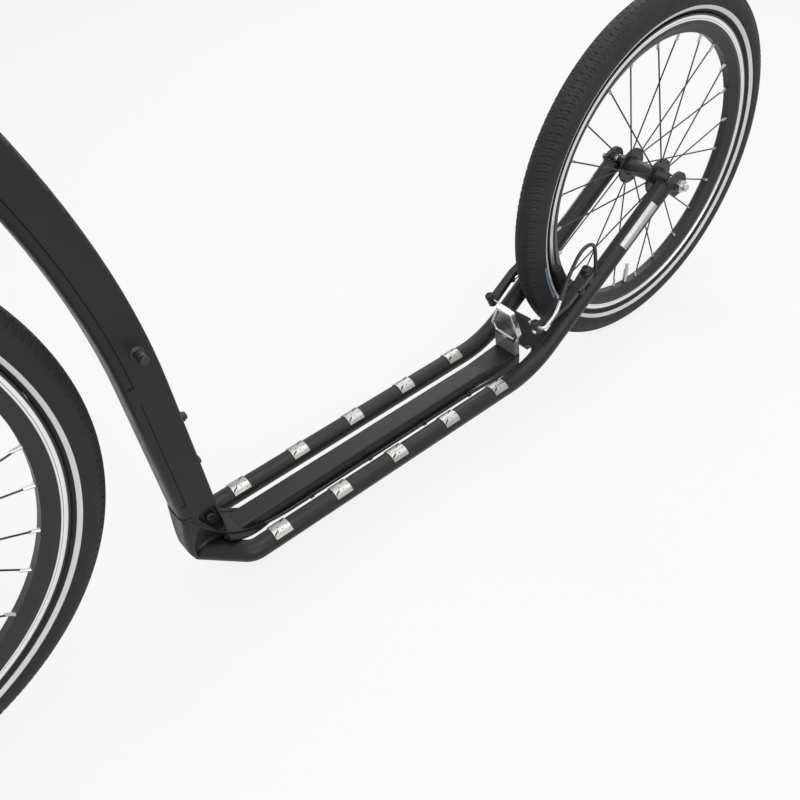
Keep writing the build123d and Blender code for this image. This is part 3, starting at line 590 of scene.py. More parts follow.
# Cuts in the tread: depths in metres, the rest in shares of a block's turn and of the tread's half width
WAVE_HEIGHT = 0.16
WAVE_TURN = 7.0
SLIT_REACH = (0.10, 0.97)
SLIT_HALF = 0.10
SLIT_DEPTH = 0.0013
FLARE_START = 0.55
FLARE = 0.16
SIPE_REACH = (0.35, 0.75)
SIPE_HALF = 0.09
SIPE_DEPTH = 0.0009
CENTRE_REACH = 0.035
CENTRE_DEPTH = 0.0008


class Tyre:
    """Sizes of a tyre: outer radius, radius of its seat on the rim, half width and count of tread blocks."""

    def __init__(self, name, axle, radius, seat, half_width, blocks):
        self.name = name
        self.axle = axle
        self.radius = radius
        self.half_height = (radius - seat) / (1 - math.cos(math.radians(TYRE_END)))
        self.half_width = half_width
        self.blocks = blocks


def tread_depth(turn, across):
    """How deep the tread is cut, for a share of a block's turn and of the tread's half width."""
    reach = abs(across)
    shift = 0.0 if across >= 0 else 0.5
    wave = (turn + WAVE_HEIGHT * math.sin(reach * WAVE_TURN) + shift) % 1.0
    depth = 0.0
    if SLIT_REACH[0] < reach < SLIT_REACH[1]:
        half = SLIT_HALF + FLARE * max(0.0, reach - FLARE_START)
        depth = SLIT_DEPTH * max(0.0, 1 - (min(wave, 1 - wave) / half) ** 2)
    if SIPE_REACH[0] < reach < SIPE_REACH[1]:
        depth = max(depth, SIPE_DEPTH * max(0.0, 1 - (abs(wave - 0.5) / SIPE_HALF) ** 2))
    if reach < CENTRE_REACH:
        depth = max(depth, CENTRE_DEPTH)
    return depth


def tyre_piece(tyre, body):
    """Tyre with its tread cut, in place of the plain one."""
    segments = tyre.blocks * BLOCK_STEPS
    tread = [TREAD_EDGE * (2 * step / TREAD_STEPS - 1) for step in range(TREAD_STEPS + 1)]
    angles = [*(-angle for angle in reversed(TYRE_WALL)), *tread, *TYRE_WALL]
    rings = []
    for segment in range(segments):
        out = wheel_out(2 * math.pi * segment / segments)
        ring = []
        for angle in angles:
            sine = math.sin(math.radians(angle))
            cosine = math.cos(math.radians(angle))
            cut = 0.0
            if abs(angle) <= TREAD_EDGE:
                cut = tread_depth(segment / BLOCK_STEPS, angle / TREAD_EDGE)
            if abs(angle) in TYRE_BAND:
                cut = -TYRE_BAND_LIFT
            radius = tyre.radius - tyre.half_height * (1 - cosine)
            place = tyre.axle + out * (radius - cut * cosine)
            place.y = (tyre.half_width - cut) * sine
            ring.append(place)
        rings.append(ring)
    build = Build()
    build.rings(rings, closed=True)
    count = len(angles)
    for face in range(len(build.faces)):
        first = angles[face % count]
        second = angles[(face + 1) % count]
        if sorted((abs(first), abs(second))) == list(TYRE_BAND) and first * second > 0:
            build.face_materials[face] = 1
    made = build.piece(f"{tyre.name}_tyre_tread", body, "tyre", tread_rubber, reflective)
    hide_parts(f"{tyre.name}_tyre")


BLUE_SECTION = (100.0, 104.5, 109.0)
BLUE_SPIN = (-29.0, -13.0)
BLUE_STEPS = 24
BLUE_LIFT = 0.0002
BLUE_SINK = 0.0004


def blue_piece(tyre, body):
    """Short coloured line on each of the tyre's walls."""
    section = [(BLUE_LIFT, angle) for angle in BLUE_SECTION]
    section += [(-BLUE_SINK, angle) for angle in reversed(BLUE_SECTION)]
    build = Build()
    for side in SIDES:
        rings = []
        for spin in spaced(*BLUE_SPIN, BLUE_STEPS):
            out = wheel_out(math.radians(spin))
            ring = []
            for lift, angle in section:
                radius = tyre.radius - tyre.half_height * (1 - math.cos(math.radians(angle)))
                place = tyre.axle + out * radius
                place.y = side * (tyre.half_width + lift) * math.sin(math.radians(angle))
                ring.append(place)
            rings.append(ring)
        build.rings(rings)
    build.piece(f"{tyre.name}_tyre_blue_lines", body, "tyre", blue_line)


TYRE_HALF_WIDTH = 0.0192
rear_tyre = Tyre("rear", REAR_AXLE, radius=0.247, seat=0.2063, half_width=TYRE_HALF_WIDTH, blocks=168)
front_tyre = Tyre("front", FRONT_AXLE, radius=0.3205, seat=0.2828, half_width=TYRE_HALF_WIDTH, blocks=218)
tyre_piece(rear_tyre, "rear_wheel")
tyre_piece(front_tyre, "front_wheel")
blue_piece(rear_tyre, "rear_wheel")

# Spoke nipples at the rims; here and below a profile holds (radius, height) pairs
NIPPLE = ((0.0026, -0.001), (0.0026, 0.0015), (0.0019, 0.003), (0.0019, 0.010), (0.0015, 0.0112))
NIPPLE_SINK = 0.0005
NIPPLE_LEFT = 0.002
for name, axle, rim_inner, count, phase in (
    ("rear", REAR_AXLE, 0.1815, 24, 25.1),
    ("front", FRONT_AXLE, 0.2580, 32, 0.0),
):
    nipples = Build()
    for index in range(count):
        side = 1 if index % 2 == 0 else -1
        out = wheel_out(math.radians(phase + 360.0 * index / count))
        at = axle + out * (rim_inner + NIPPLE_SINK) + LEFT * (side * NIPPLE_LEFT)
        nipples.lathe(at, -out, NIPPLE, 8)
    nipples.piece(f"{name}_spoke_nipples", f"{name}_wheel", "steel", steel)

# Brake housings: smooth lines through the same points as the solids
HOUSING_RADIUS = 0.0025
HOUSING_SIDES = 12
HOUSING_STRAIGHT = 0.042
LEVER_SIDE = Vector((-0.0205, 0.9992, -0.0334))
LEVER_BACK = mm(462.136, 155.109, 894.048)
REAR_LOOP = [
    mm(-291.5, 47.5, 98.4), mm(-303.1, 44.9, 116.5), mm(-322.3, 45, 143.2), mm(-345.3, 45, 141.2),
    mm(-352.3, 45, 115.2), mm(-356.4, 44.2, 89.7),
]
FRONT_RISE = [
    mm(504.2, 51.9, 622.9), mm(501.6, 50.1, 644.4), mm(518.2, 54, 752.6), mm(516.2, 60, 817.6),
    mm(502.2, 82, 872.6),
    LEVER_BACK - LEVER_SIDE * HOUSING_STRAIGHT, LEVER_BACK,
]
REAR_LEAD = [
    flip(LEVER_BACK), mm(463.0, -113.1, 895.4), mm(497, -60, 830.9), mm(491, -12, 764.9), mm(447, 40, 706.9),
    mm(393, 40, 658.9), mm(365, 34, 614.9), mm(348.8, 20.3, 587.5),
]
for name, route, body in (
    ("rear_brake_housing", REAR_LOOP, "frame"),
    ("front_brake_housing", FRONT_RISE, "steering"),
):
    line = Build()
    line.bead(smooth_line(route), HOUSING_RADIUS, HOUSING_SIDES)
    made = line.piece(f"{name}_line", body, "housing", housing)
    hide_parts(name)
lead = Build()
lead.bead(smooth_line(REAR_LEAD, 20), HOUSING_RADIUS, HOUSING_SIDES)
lead_piece = lead.piece("rear_brake_lead_line", "steering", "housing", housing)
lead_piece.parent = None
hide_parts("rear_brake_lead")
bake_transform(lead_piece)

# Tread pads: three short dark cuts in two corners of each plate, and small dimples
PAD_COUNT = 5
PAD_PITCH = 0.0867
PAD_RADIUS = 0.0137
DECK_HALF = 0.044
DECK_AXIS_Z = -0.0125
DECK_RADIUS = 0.0125
CUT_LAY = Vector((0.6, 1, 0)).normalized()
CUT_HALF_LENGTH = 0.0026
CUT_HALF_WIDTH = 0.0008
CUT_POINTS = 12
CUT_SINK = 0.0006
CUT_LIFT = 0.00015
CUT_TAPER = 0.8
DIMPLE = ((0.0007, -0.0005), (0.0007, 0.00005), (0.0004, 0.00012))

# Places on a pad: millimetres along it, and degrees round it
CUT_CORNERS = ((-7.4, -27.0), (7.2, 26.0))
CUT_STEP = (2.2, 4.0)
DIMPLES = ((-8.5, 12.0), (-3.0, -12.0), (-1.0, 24.0), (2.5, 4.0), (4.0, -30.0), (8.5, -8.0))


def on_pad(pad, along, around, side):
    """Place on a pad's outer face and the outward direction there."""
    angle = math.radians(around)
    out = Vector((0, math.sin(angle), math.cos(angle)))
    row = (pad - (PAD_COUNT - 1) / 2) * PAD_PITCH
    return Vector((row + along * MM, side * DECK_HALF, DECK_AXIS_Z)) + out * PAD_RADIUS, out


def add_cut(build, at, out):
    """Slanted cut that lies on a pad."""
    lay = (CUT_LAY - out * CUT_LAY.dot(out)).normalized()
    shape = round_points(Vector(), lay * CUT_HALF_LENGTH, out.cross(lay) * CUT_HALF_WIDTH, 1, CUT_POINTS)
    low = [at + point - out * CUT_SINK for point in shape]
    high = [at + point * CUT_TAPER + out * CUT_LIFT for point in shape]
    build.rings([low, high])


for side, label in SIDES.items():
    marks = Build()
    for pad in range(PAD_COUNT):
        for along, around in CUT_CORNERS:
            for step in (-1, 0, 1):
                add_cut(marks, *on_pad(pad, along + CUT_STEP[0] * step, around + CUT_STEP[1] * step, side))
        for along, around in DIMPLES:
            marks.lathe(*on_pad(pad, along, around, side), DIMPLE, 8)
    marks.piece(f"tread_pad_marks_{label}", "frame", "steel", ink)

# Main tube: its line, the thin dark stripes on its sides, its bolts and the plug in its cable port
MAIN_LEAN = math.radians(2.93)
MAIN_AHEAD = Vector((math.cos(MAIN_LEAN), 0, -math.sin(MAIN_LEAN)))
MAIN_RISE = Vector((math.sin(MAIN_LEAN), 0, math.cos(MAIN_LEAN)))
MAIN_STRAIGHT_TOP = mm(255.901, 0, 240)
MAIN_BEND = 0.8312945
MAIN_HALF_DEPTH = 0.021
MAIN_HALF_WIDTH = 0.020
MAIN_FRONT_CORNER = 0.011
MAIN_REAR_CORNER = 0.004


def main_ahead(run):
    """Forward direction of the main tube's section, a run beyond the top of its straight part."""
    turn = max(0.0, run) / MAIN_BEND
    return MAIN_AHEAD * math.cos(turn) - MAIN_RISE * math.sin(turn)


def on_main(run, ahead, left):
    """Point of the main tube, by its run beyond the straight part, ahead of its middle and to its left."""
    if run <= 0:
        return MAIN_STRAIGHT_TOP + MAIN_RISE * run + MAIN_AHEAD * ahead + LEFT * left
    centre = MAIN_STRAIGHT_TOP + MAIN_AHEAD * MAIN_BEND
    return centre - main_ahead(run) * (MAIN_BEND - ahead) + LEFT * left


STRIPE_AHEAD = 0.0107
STRIPE_HOOK = 0.0062
STRIPE_WIDTH = 0.0011
STRIPE_HEIGHT = 0.00015
STRIPE_STEPS = 60
STRIPES = ((0.0165, 0.425), (-0.155, -0.006))
stripes = Build()
for side in SIDES:
    out = LEFT * side
    for low, high in STRIPES:
        runs = spaced(low, high, STRIPE_STEPS)
        path = [on_main(run, STRIPE_AHEAD, side * MAIN_HALF_WIDTH) for run in runs]
        stripes.ribbon(path, [main_ahead(run) for run in runs], out, STRIPE_WIDTH, STRIPE_HEIGHT)
        hook = [on_main(low, STRIPE_AHEAD + step, side * MAIN_HALF_WIDTH) for step in (0.0, STRIPE_HOOK)]
        stripes.ribbon(hook, [MAIN_RISE, MAIN_RISE], out, STRIPE_WIDTH, STRIPE_HEIGHT)
stripes.piece("main_tube_stripes", "frame", "frame_paint", ink)

# Bolts: places in millimetres; here and below a head is its radius and its height
BOTTLE_BOLT_X = 227.0
BOTTLE_BOLT_HEIGHTS = (115.0, 179.0)
BOTTLE_WASHER = ((0.0055, 0), (0.0055, 0.0006), (0.0048, 0.0008))
BOTTLE_WASHER_HEIGHT = 0.8
BOTTLE_HEAD = (0.0044, 0.0034)
POCKET_BOLT = mm(235.5, 10.0, 42.0)
POCKET_HEAD = (0.0056, 0.0048)
tube_bolts = Build()
for height in BOTTLE_BOLT_HEIGHTS:
    tube_bolts.lathe(mm(BOTTLE_BOLT_X, 0, height), BEHIND, BOTTLE_WASHER)
    round_head(tube_bolts, mm(BOTTLE_BOLT_X - BOTTLE_WASHER_HEIGHT, 0, height), BEHIND, *BOTTLE_HEAD)
for side in SIDES:
    round_head(tube_bolts, on_side(POCKET_BOLT, side), LEFT * side, *POCKET_HEAD)
tube_bolts.piece("main_tube_bolts", "frame", "black_metal", black_metal)

PORT_AT = mm(254.46, 20, 290)
PORT_PROFILE = (
    (0.0070, 0), (0.0070, 0.0006), (0.0066, 0.0013), (0.0058, 0.0016), (0.0050, 0.0024), (0.0045, 0.0040),
    (0.0045, 0.0120), (0.0041, 0.0126), (0.0041, 0.0138), (0.0045, 0.0144), (0.0045, 0.0160),
    (0.0038, 0.0169),
)
port = Build()
port.lathe(PORT_AT, LEFT, PORT_PROFILE, 32)
port_piece = port.piece("cable_port_plug", "frame", "black_plastic", black_plastic)
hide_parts("cable_port")

# Foot: the lip that widens from the beam to the main tube along the seam
SEAM_CENTRE = mm(142.7, 0, 99)
SEAM_RADIUS = 0.120
SEAM_TOP_Z = 0.062
LIP_THICKNESS = 0.004
LIP_ROUND = 0.001
LIP_NARROW = 0.0138
LIP_START_X = 0.150
LIP_END_X = 0.226
LIP_STEPS = 24


def on_seam(x, left):
    """Point of the seam's arc."""
    drop = math.sqrt(SEAM_RADIUS**2 - (x - SEAM_CENTRE.x) ** 2)
    return Vector((x, left, SEAM_CENTRE.z - drop))


def seam_down(x):
    """Direction out of the seam's arc."""
    return (on_seam(x, 0) - SEAM_CENTRE).normalized()


def lip_half_width(x):
    share = (x - LIP_START_X) / (LIP_END_X - LIP_START_X)
    return LIP_NARROW + (MAIN_HALF_WIDTH - LIP_NARROW) * share * share * (3 - 2 * share)


def smooth_pairs(pairs):
    """Closely spaced (x, reach) pairs in metres along a smooth line through pairs in millimetres."""
    line = smooth_line([mm(x, reach, 0) for x, reach in pairs], 8)
    return [(point.x, point.y) for point in line]


lip_rings = []
for x in spaced(LIP_START_X, LIP_END_X, LIP_STEPS):
    half = lip_half_width(x)
    down = seam_down(x) * LIP_THICKNESS
    edge = seam_down(x) * LIP_ROUND
    ring = [
        on_seam(x, half - LIP_ROUND), on_seam(x, half) + edge, on_seam(x, half) + down - edge,
        on_seam(x, half - LIP_ROUND) + down,
    ]
    lip_rings.append(ring + [flip(point) for point in reversed(ring)])
lip = Build()
lip.rings(lip_rings)
lip.piece("foot_lip", "frame", "frame_paint", frame_paint)

# Gussets that fill the corners between the beam and the deck tubes, below the lip
GUSSET_EDGE = (
    (160.0, 13.5), (168.0, 15.0), (178.0, 19.0), (190.0, 23.5), (204.0, 28.0), (216.0, 31.0), (226.0, 31.0),
)
GUSSET_INNER = 0.012
GUSSET_DROP = 0.001
GUSSET_THICKNESS = 0.003
GUSSET_ROUND = 0.0008
gussets = Build()
for side in SIDES:
    gusset_rings = []
    for x, reach in smooth_pairs(GUSSET_EDGE):
        down = seam_down(x)
        top = down * GUSSET_DROP
        low = down * (GUSSET_DROP + GUSSET_THICKNESS)
        edge = down * GUSSET_ROUND
        ring = [
            on_seam(x, GUSSET_INNER) + top, on_seam(x, reach - GUSSET_ROUND) + top,
            on_seam(x, reach) + top + edge, on_seam(x, reach) + low - edge,
            on_seam(x, reach - GUSSET_ROUND) + low, on_seam(x, GUSSET_INNER) + low,
        ]
        gusset_rings.append([on_side(point, side) for point in ring])
    gussets.rings(gusset_rings)
gussets.piece("foot_gussets", "frame", "frame_paint", frame_paint)

# Weld beads
WELD = 0.0013
WELD_RIPPLE = 0.16
RING_RIPPLE = 0.14
SEAM_FRONT_X = 0.2678
SEAM_STEPS = 99
CORNER_STEPS = 16
seam_high_x = SEAM_CENTRE.x + math.sqrt(SEAM_RADIUS**2 - (SEAM_CENTRE.z - SEAM_TOP_Z) ** 2)
seam_path = []
for x in spaced(LIP_START_X, seam_high_x, SEAM_STEPS):
    half = lip_half_width(x) if x < LIP_END_X else MAIN_HALF_WIDTH
    seam_path.append(on_seam(x, half))
corner = Vector((SEAM_FRONT_X - MAIN_FRONT_CORNER, MAIN_HALF_WIDTH - MAIN_FRONT_CORNER, SEAM_TOP_Z))
for angle in spaced(math.pi / 2, 0.0, CORNER_STEPS):
    seam_path.append(corner + Vector((math.cos(angle), math.sin(angle), 0)) * MAIN_FRONT_CORNER)
seam_path += [flip(point) for point in reversed(seam_path)]
seam_weld = Build()
seam_weld.bead(seam_path, WELD, ripple=WELD_RIPPLE)
seam_weld.piece("foot_weld", "frame", "frame_paint", frame_paint)


def main_outline():
    """Round of the main tube's section, as offsets ahead and to the left."""
    offsets = []
    for ahead_sign, left_sign, start in ((1, 1, 0), (-1, 1, 90), (-1, -1, 180), (1, -1, 270)):
        corner = MAIN_FRONT_CORNER if ahead_sign > 0 else MAIN_REAR_CORNER
        for degrees in spaced(start, start + 90, 12):
            angle = math.radians(degrees)
            offsets.append((
                ahead_sign * (MAIN_HALF_DEPTH - corner) + corner * math.cos(angle),
                left_sign * (MAIN_HALF_WIDTH - corner) + corner * math.sin(angle),
            ))
    return offsets


HEAD_RADIUS = 0.023
HEAD_SEARCH = (0.3, 0.4956)
HALVINGS = 40


def meets_head(ahead, left):
    """Where a line along the main tube reaches the head tube."""
    low, high = HEAD_SEARCH
    for _ in range(HALVINGS):
        middle = (low + high) / 2
        point = on_main(middle, ahead, left) - STEER_FOOT
        apart = point - STEER_DIR * point.dot(STEER_DIR)
        if apart.length > HEAD_RADIUS:
            low = middle
        else:
            high = middle
    return on_main(low, ahead, left)


STAY_FOOT = mm(-236, 44, -12.5)
STAY_DIR = Vector((-0.8094, 0, 0.5873))
STAY_UP = Vector((0.5873, 0, 0.8094))
STAY_END = 0.3049
BRIDGE_RUN = (0.0226, 0.0566)
BRIDGE_HALF = 0.006
BRIDGE_STEPS = 35
HEAD_WELD = 0.0017
HEAD_WELD_STEP = 0.0011
WELD_SINK = 0.0002
frame_welds = Build()
outline = main_outline()
dense = []
for index, (ahead, left) in enumerate(outline):
    after = outline[(index + 1) % len(outline)]
    gap = math.hypot(after[0] - ahead, after[1] - left)
    count = max(1, round(gap / HEAD_WELD_STEP))
    for step in range(count):
        share = step / count
        dense.append((ahead + (after[0] - ahead) * share, left + (after[1] - left) * share))
frame_welds.bead([meets_head(*offset) for offset in dense], HEAD_WELD, closed=True, ripple=WELD_RIPPLE)
bridge_left = DECK_HALF - math.sqrt(DECK_RADIUS**2 - BRIDGE_HALF**2)
for side in SIDES:
    stay_end = on_side(STAY_FOOT, side) + STAY_DIR * STAY_END
    stay_round = circle(stay_end, STAY_DIR, DECK_RADIUS - WELD_SINK)
    frame_welds.bead(stay_round, WELD, closed=True, ripple=RING_RIPPLE)
    for level in (1, -1):
        path = []
        for run in spaced(*BRIDGE_RUN, BRIDGE_STEPS):
            at = STAY_FOOT + STAY_DIR * run + STAY_UP * (level * BRIDGE_HALF)
            path.append(on_side(Vector((at.x, bridge_left, at.z)), side))
        frame_welds.bead(path, WELD, ripple=WELD_RIPPLE)
frame_welds.piece("frame_welds", "frame", "frame_paint", frame_paint)

# Stays: a plain silver band on each
BAND_RUN = (0.205, 0.276)
BAND_ANGLE = math.radians(54.0)
BAND_HALF_ANGLE = math.radians(27.0)
BAND_LIFT = 0.0002
bands = Build()
for side in SIDES:
    start, end = (on_side(STAY_FOOT, side) + STAY_DIR * run for run in BAND_RUN)
    facing = STAY_UP * math.cos(BAND_ANGLE) + LEFT * (side * math.sin(BAND_ANGLE))
    bands.wrap(start, end, DECK_RADIUS, facing, BAND_HALF_ANGLE, BAND_LIFT)
bands.piece("stay_bands", "frame", "steel", foil)

# Grommets where the housings go into the left stay and the main tube
STAY_GROMMET = ((0.0050, -0.004), (0.0050, 0.0015), (0.0044, 0.0028), (0.0032, 0.0045), (0.0026, 0.0050))
STAY_GROMMET_BACK = 0.001
TUBE_GROMMET = ((0.0068, -0.001), (0.0068, 0.0008), (0.0060, 0.0020), (0.0042, 0.0030))
grommets = Build()
loop_end = (REAR_LOOP[-1] - REAR_LOOP[-2]).normalized()
grommets.lathe(REAR_LOOP[-1] - loop_end * STAY_GROMMET_BACK, -loop_end, STAY_GROMMET)
lead_end = REAR_LEAD[-1]
grommets.lathe(Vector((lead_end.x, MAIN_HALF_WIDTH, lead_end.z)), LEFT, TUBE_GROMMET, 28)
grommets.piece("cable_grommets", "frame", "rubber", rubber)

# Cable along the beam's left side, from the foot to the left stay
BEAM_CABLE = [
    mm(186, 14.5, -16), mm(160, 16.4, -19.5), mm(120, 17.0, -18.8), mm(60, 17.1, -18.8), mm(0, 17.0, -18.8),
    mm(-60, 17.1, -18.8), mm(-120, 17.0, -18.8), mm(-160, 17.6, -18.6), mm(-195, 20.5, -17.4),
    mm(-224, 24.5, -14.5), mm(-246, 29.5, -10.5), mm(-259, 36, -5.5),
]
BEAM_CABLE_RADIUS = 0.0024
CLIP_PLACES = (110.0, 20.0, -70.0, -150.0)
CLIP_PAIR = (0.0, 3.0)
CLIP_RADIUS = 0.0031
CLIP_WIRE = 0.0009
beam_cable = Build()
beam_cable.bead(smooth_line(BEAM_CABLE, 10), BEAM_CABLE_RADIUS, HOUSING_SIDES)
beam_cable.piece("beam_cable", "frame", "housing", housing)
clips = Build()
for place in CLIP_PLACES:
    for step in CLIP_PAIR:
        clips.bead(circle(mm(place + step, 17.0, -18.8), -BEHIND, CLIP_RADIUS, 20), CLIP_WIRE, closed=True)
clips.piece("beam_cable_clips", "frame", "black_plastic", black_plastic)

# Cap: polished rim, a darker brushed face and a grey base
CAP_FOOT = mm(-234, 0, -1.7)
CAP_UP = Vector((0.0958, 0, 0.9954))
CAP_AHEAD = Vector((0.9954, 0, -0.0958))
CAP_BASE_TOP = 0.0240
CAP_SUNK = -0.0013
CAP_FACING = 0.9
CAP_ROUND = 0.0011


def cap_paint(middle, normal):
    """Material of a face of the cap."""
    offset = middle - CAP_FOOT
    if offset.dot(CAP_UP) < CAP_BASE_TOP:
        return grey_paint
    if normal.dot(CAP_AHEAD) > CAP_FACING and offset.dot(CAP_AHEAD) < CAP_SUNK:
        return brushed_dark
    return polished


softened("beam_end_cap", CAP_ROUND, 3, cap_paint, (CAP_FOOT + CAP_UP * CAP_BASE_TOP, CAP_UP))

# Foot: rounded all over and blended into the ends of the deck tubes
FOOT_GRAIN = 0.0014
FOOT_ROUNDS = 16
DECK_CORNER = mm(211, 44, -12.5)
DECK_TURN = math.radians(46.0)
DECK_IN = Vector((math.cos(DECK_TURN), -math.sin(DECK_TURN), 0))
DECK_ENDS = (0.016, 0.058)
ends = bmesh.new()
ends.from_mesh(nodes["foot_joint"].data)
bmesh.ops.remove_doubles(ends, verts=ends.verts, dist=MERGE)
for side in SIDES:
    middle = on_side(DECK_CORNER + DECK_IN * (sum(DECK_ENDS) / 2), side)
    turned = on_side(DECK_IN, side).to_track_quat("Z", "Y").to_matrix().to_4x4()
    bmesh.ops.create_cone(ends, cap_ends=True, segments=64, radius1=DECK_RADIUS, radius2=DECK_RADIUS,
                          depth=DECK_ENDS[1] - DECK_ENDS[0], matrix=Matrix.Translation(middle) @ turned)
foot_source = bpy.data.meshes.new("foot_source")
ends.to_mesh(foot_source)
ends.free()
foot_copy = bpy.data.objects.new("foot_source", foot_source)
scene.collection.objects.link(foot_copy)
grained = foot_copy.modifiers.new("grain", "REMESH")
grained.mode = "VOXEL"
grained.voxel_size = FOOT_GRAIN
rounded = foot_copy.modifiers.new("round", "SMOOTH")
rounded.iterations = FOOT_ROUNDS
foot_mesh = bpy.data.meshes.new_from_object(foot_copy.evaluated_get(bpy.context.evaluated_depsgraph_get()))
bpy.data.objects.remove(foot_copy)
foot_mesh.shade_smooth()
foot_mesh.materials.clear()
foot_mesh.materials.append(frame_paint.material)
foot = seat("foot_rounded", foot_mesh, "frame_paint", "frame")
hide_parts("foot_joint")

# Rounded edges, by their width in metres
softened("bridge_plate", 0.0016)
softened("fork_crown", 0.0030, 3)
softened("stem", 0.0012)
softened("stem_top_cap", 0.0012)
softened("headset_spacers", 0.0006)
for label in SIDES.values():
    softened(f"rear_dropout_{label}", 0.0010)
    softened(f"fork_dropout_{label}", 0.0010)
    softened(f"brake_lever_{label}", 0.0008)
for wheel in ("rear", "front"):
    softened(f"{wheel}_axle", 0.0006)
    softened(f"{wheel}_hub", 0.0006)
    softened(f"{wheel}_valve", 0.0004)
    softened(f"{wheel}_brake_shoes", 0.0014)
    for label in SIDES.values():
        softened(f"{wheel}_brake_arm_{label}", 0.0011)


# Brakes: bolts, spring covers, springs, shoe nuts and washers, sleeves, fittings and ribbed boots
PIVOT_DROP = 26.0
ARM_LENGTH = 102.0


class Brake:
    """A brake's place: its arms' plane, the reach of pads, pivots and tips, and where its pipe ends."""

    def __init__(self, name, body, axle, out, offset, facing, pad, pipe_end, pipe_run):
        self.name = name
        self.body = body
        self.out = Vector(out)
        self.normal = Vector((-self.out.z, 0, self.out.x))
        self.origin = axle + self.normal * (offset * MM)
        self.front = self.normal * facing
        self.pad = pad
        self.pivot = pad - PIVOT_DROP
        self.tip = self.pivot + ARM_LENGTH
        self.pipe_end = pipe_end
        self.pipe_dir = Vector(pipe_run).normalized()

    def at(self, reach, left, forward):
        """Place by its reach from the axle, to the left, and in front of the arms' plane, in millimetres."""
        return self.origin + (self.out * reach + LEFT * left + self.front * forward) * MM


brakes = (
    Brake("rear", "frame", REAR_AXLE, (0.907044, 0, -0.421036), 0.0, 1, 199.5,
          mm(-291.29, 47.56, 98.17), (-18, -4, 28)),
    Brake("front", "steering", FRONT_AXLE, (-0.42987, 0, 0.90289), -27.0, -1, 274.68,
          mm(504.18, 51.88, 622.6), (-6, -4, 50)),
)
EYE_LEFT = 42.0
EYE_FRONT = 4.0
EYE_BACK = -4.2
EYE_WASHER = ((0.0078, -0.0005), (0.0078, 0.0008), (0.0072, 0.0012), (0.0060, 0.0040))
SPRING_COVER = ((0.0098, 0), (0.0098, 0.0050), (0.0092, 0.0060), (0.0084, 0.0064))
STUD_END = 8.0
STUD_HEAD = (0.0058, 0.0042)
SHOE_NUT_LEFT = 51.5
SHOE_NUT = (0.0052, 0.0050)
POST_END = 14.0
POST_HEAD = (0.0046, 0.0022)
TIP_SCREW = (5.8, 0.5)
TIP_HEAD = (0.0034, 0.0018)
CABLE_FORWARD = 9.0
FERRULE_LEFT = 34.8
SLEEVE_BACK = 0.017
SLEEVE = ((0.0028, 0), (0.0033, 0.0005), (0.0033, SLEEVE_BACK + 0.006), (0.0029, SLEEVE_BACK + 0.008))
BOOT_LEFT = 31.0
BOOT_LENGTH = 0.0340
BOOT_RIBS = 9
BOOT_START = 0.0008
BOOT_PITCH = 0.0036
BOOT_CREST = 0.0043
BOOT_TAPER = 0.00021
BOOT_GROOVE = 0.0009

# Shoe washers: millimetres to the left, and radius in metres
SHOE_WASHERS = ((26.0, 0.0062), (30.0, 0.0074), (34.5, 0.0068))

# Spring's route and its stop: beyond the pivot, to the left and forward, in millimetres
SPRING = ((-10, 40, -7), (4, 31.5, -7), (26, 36, -6.5), (50, 42, -6), (62, 44, -5.5))
SPRING_WIRE = 0.0009
SPRING_STOP = (58, 43.5, -4)
STOP_HEAD = (0.0032, 0.0030)

boot_profile = [(0.0030, 0.0)]
for index in range(BOOT_RIBS):
    crest = BOOT_CREST - BOOT_TAPER * index
    boot_profile += rib(crest - BOOT_GROOVE, crest, BOOT_START + BOOT_PITCH * index, 0.0032, 0.0010)
boot_profile.append((0.0012, BOOT_LENGTH))

for brake in brakes:
    bolts = Build()
    springs = Build()
    for side in SIDES:
        outward = LEFT * side
        bolts.lathe(brake.at(brake.pivot, side * EYE_LEFT, EYE_FRONT), brake.front, EYE_WASHER, 28)
        round_head(bolts, brake.at(brake.pivot, side * EYE_LEFT, STUD_END), brake.front, *STUD_HEAD)
        bolts.lathe(brake.at(brake.pivot, side * EYE_LEFT, EYE_BACK), -brake.front, SPRING_COVER, 32)
        hex_nut(bolts, brake.at(brake.pad, side * SHOE_NUT_LEFT, 0), outward, *SHOE_NUT)
        for start, size in SHOE_WASHERS:
            washer = rib(size - 0.001, size, 0, 0.0034, 0.0010)
            bolts.lathe(brake.at(brake.pad, side * start, 0), outward, washer)
        round_head(bolts, brake.at(brake.tip, side * EYE_LEFT, POST_END), brake.front, *POST_HEAD)
        route = [brake.at(brake.pivot + run, side * left, forward) for run, left, forward in SPRING]
        springs.bead(smooth_line(route), SPRING_WIRE)
        run, left, forward = SPRING_STOP
        round_head(bolts, brake.at(brake.pivot + run, side * left, forward), -brake.front, *STOP_HEAD)
    bolts.lathe(brake.pipe_end - brake.pipe_dir * SLEEVE_BACK, brake.pipe_dir, SLEEVE, 20)
    bolts.piece(f"{brake.name}_brake_bolts", brake.body, "black_metal", black_metal)
    springs.piece(f"{brake.name}_brake_springs", brake.body, "steel", spoke_black)
    bright = Build()
    round_head(bright, brake.at(brake.tip + TIP_SCREW[0], EYE_LEFT, TIP_SCREW[1]), brake.out, *TIP_HEAD)
    ferrule = rib(0.0030, 0.0038, 0, 0.0014, 0.0004)
    bright.lathe(brake.at(brake.tip, FERRULE_LEFT, CABLE_FORWARD), LEFT, ferrule, 20)
    bright.piece(f"{brake.name}_brake_fittings", brake.body, "steel", steel)
    boot = Build()
    boot.lathe(brake.at(brake.tip, BOOT_LEFT, CABLE_FORWARD), -LEFT, boot_profile)
    boot_piece = boot.piece(f"{brake.name}_brake_boot_ribs", brake.body, "rubber", rubber)
    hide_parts(f"{brake.name}_brake_boot")

